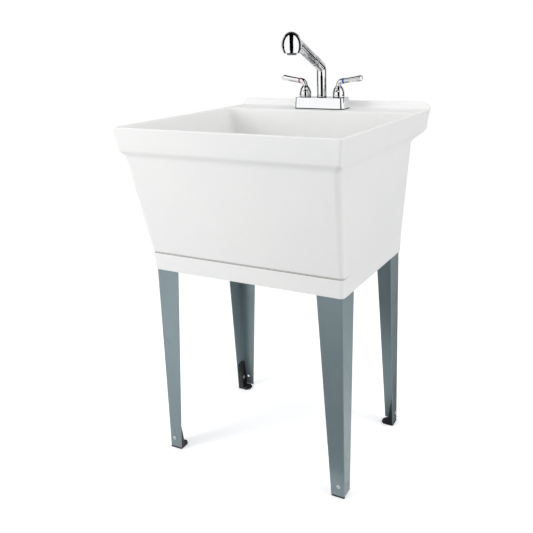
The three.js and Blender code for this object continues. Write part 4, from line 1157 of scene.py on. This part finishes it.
def make_flags():
    """Dark cards that chrome reflects: behind the camera and overhead, a ring round it, and a grey back."""
    away = tuple(-v for v in TO_CAMERA)
    flag("flag_front", BESIDE_CAMERA, (70.0, 110.0), (0.0, 135.0), 0.0)
    flag("flag_ring", away, (58.0, 92.0), (-120.0, 120.0), 0.0, distance=3.2)
    flag("flag_top", away, (20.0, 60.0), (-50.0, 50.0), 0.11, distance=3.1)
    flag("flag_back", away, (1.0, 58.0), (-180.0, 180.0), 0.62, distance=3.4)
    flat_card("flag_floor_front", [(-0.28, -0.3), (0.7, -0.3), (0.5, -1.3), (-0.6, -1.3)])
    flat_card("flag_floor_right", [(0.2, 0.0), (0.34, 0.16), (0.95, 1.5), (0.2, 1.9)])
    head_flags()
    upright_card("flag_column", 0.0, 0.0105, 0.957)
    for name, side in (("left", -1), ("right", 1)):
        upright_card(f"flag_hub_{name}", side * SHANK, 0.0058, 0.92)
        for part, near, far, front, back, height in (
            ("over", 0.066, 0.12, 0.214, 0.34, 0.972), ("under", 0.09, 0.13, 0.218, 0.285, 0.9),
        ):
            strip = [(near, front), (far, front), (far, back), (near, back)]
            flat_card(f"flag_{part}_lever_{name}", [(side * x, y) for x, y in strip], height)


def make_world():
    """White where it is looked at, and a softer light on the object."""
    scene.world = bpy.data.worlds.new("studio")
    scene.world.use_nodes = True
    s = Nodes(scene.world.node_tree)
    s.tree.nodes.clear()
    ambient, white = (
        s.add("ShaderNodeBackground", {"Color": tint, "Strength": strength}).outputs[0]
        for tint, strength in (((0.97, 0.985, 1.0, 1), 0.66), ((1, 1, 1, 1), 1.0))
    )
    blend = s.add("ShaderNodeMixShader", {0: s.seen_directly(), 1: ambient, 2: white})
    s.add("ShaderNodeOutputWorld", {0: blend.outputs[0]})


def lamp(name, place, target, size, power):
    data = bpy.data.lights.new(name, "AREA")
    data.shape = "RECTANGLE"
    data.size, data.size_y = size
    data.energy = power
    made = linked(name, data)
    made.location = place
    made.visible_glossy = False
    made.rotation_euler = (Vector(target) - Vector(place)).to_track_quat("-Z", "Y").to_euler()


def make_lights():
    lamp("key", (-1.35, -1.75, 1.35), (0, -0.2, 0.65), (1.0, 1.0), 20)
    lamp("low", (-1.1, -2.0, 0.2), (0, -0.25, 0.8), (1.2, 0.4), 1.5)
    lamp("fill", (2.8, -0.1, 1.5), (0, 0, 0.6), (1.4, 1.4), 22)
    lamp("top", (0.1, 0.2, 3.2), (0, 0, 0.6), (2.0, 2.0), 16)


def make_camera():
    """The camera fitted to the photograph: angles in degrees, place in metres, the rest in pixels."""
    picture_side, sensor_width = 533.0, 36.0
    place = (0.8056, -1.4657, 1.0565)
    yaw, pitch, roll = (radians(angle) for angle in (26.776, -13.911, -1.187))
    focal, shift_right, shift_down = 668.7, 42.1, -62.0
    ahead = Vector((-sin(yaw) * cos(pitch), cos(yaw) * cos(pitch), sin(pitch)))
    right = Vector((cos(yaw), sin(yaw), 0))
    up = right.cross(ahead)
    right, up = cos(roll) * right + sin(roll) * up, cos(roll) * up - sin(roll) * right
    data = bpy.data.cameras.new("camera")
    data.sensor_width = sensor_width
    data.lens = focal / picture_side * sensor_width
    data.shift_x = -shift_right / picture_side
    data.shift_y = shift_down / picture_side
    scene.camera = linked("camera", data)
    turn = Matrix((right, up, -ahead)).transposed().to_4x4()
    scene.camera.matrix_world = Matrix.Translation(place) @ turn


make_camera()
make_world()
make_lights()
make_floor()
make_flags()
make_tub()
make_drain()
for corner_name, sides in CORNERS.items():
    make_leg(corner_name, *sides)
make_base()
make_waterway()
for side_name, side_x in (("hot", -SHANK), ("cold", SHANK)):
    make_mounting_nut(side_name, side_x)
    make_cartridge(side_name, side_x)
make_handle("hot", -SHANK, 180.0, RED)
make_handle("cold", SHANK, 0.0, BLUE)
make_spout()
make_wand()

scene.view_settings.view_transform = "Standard"
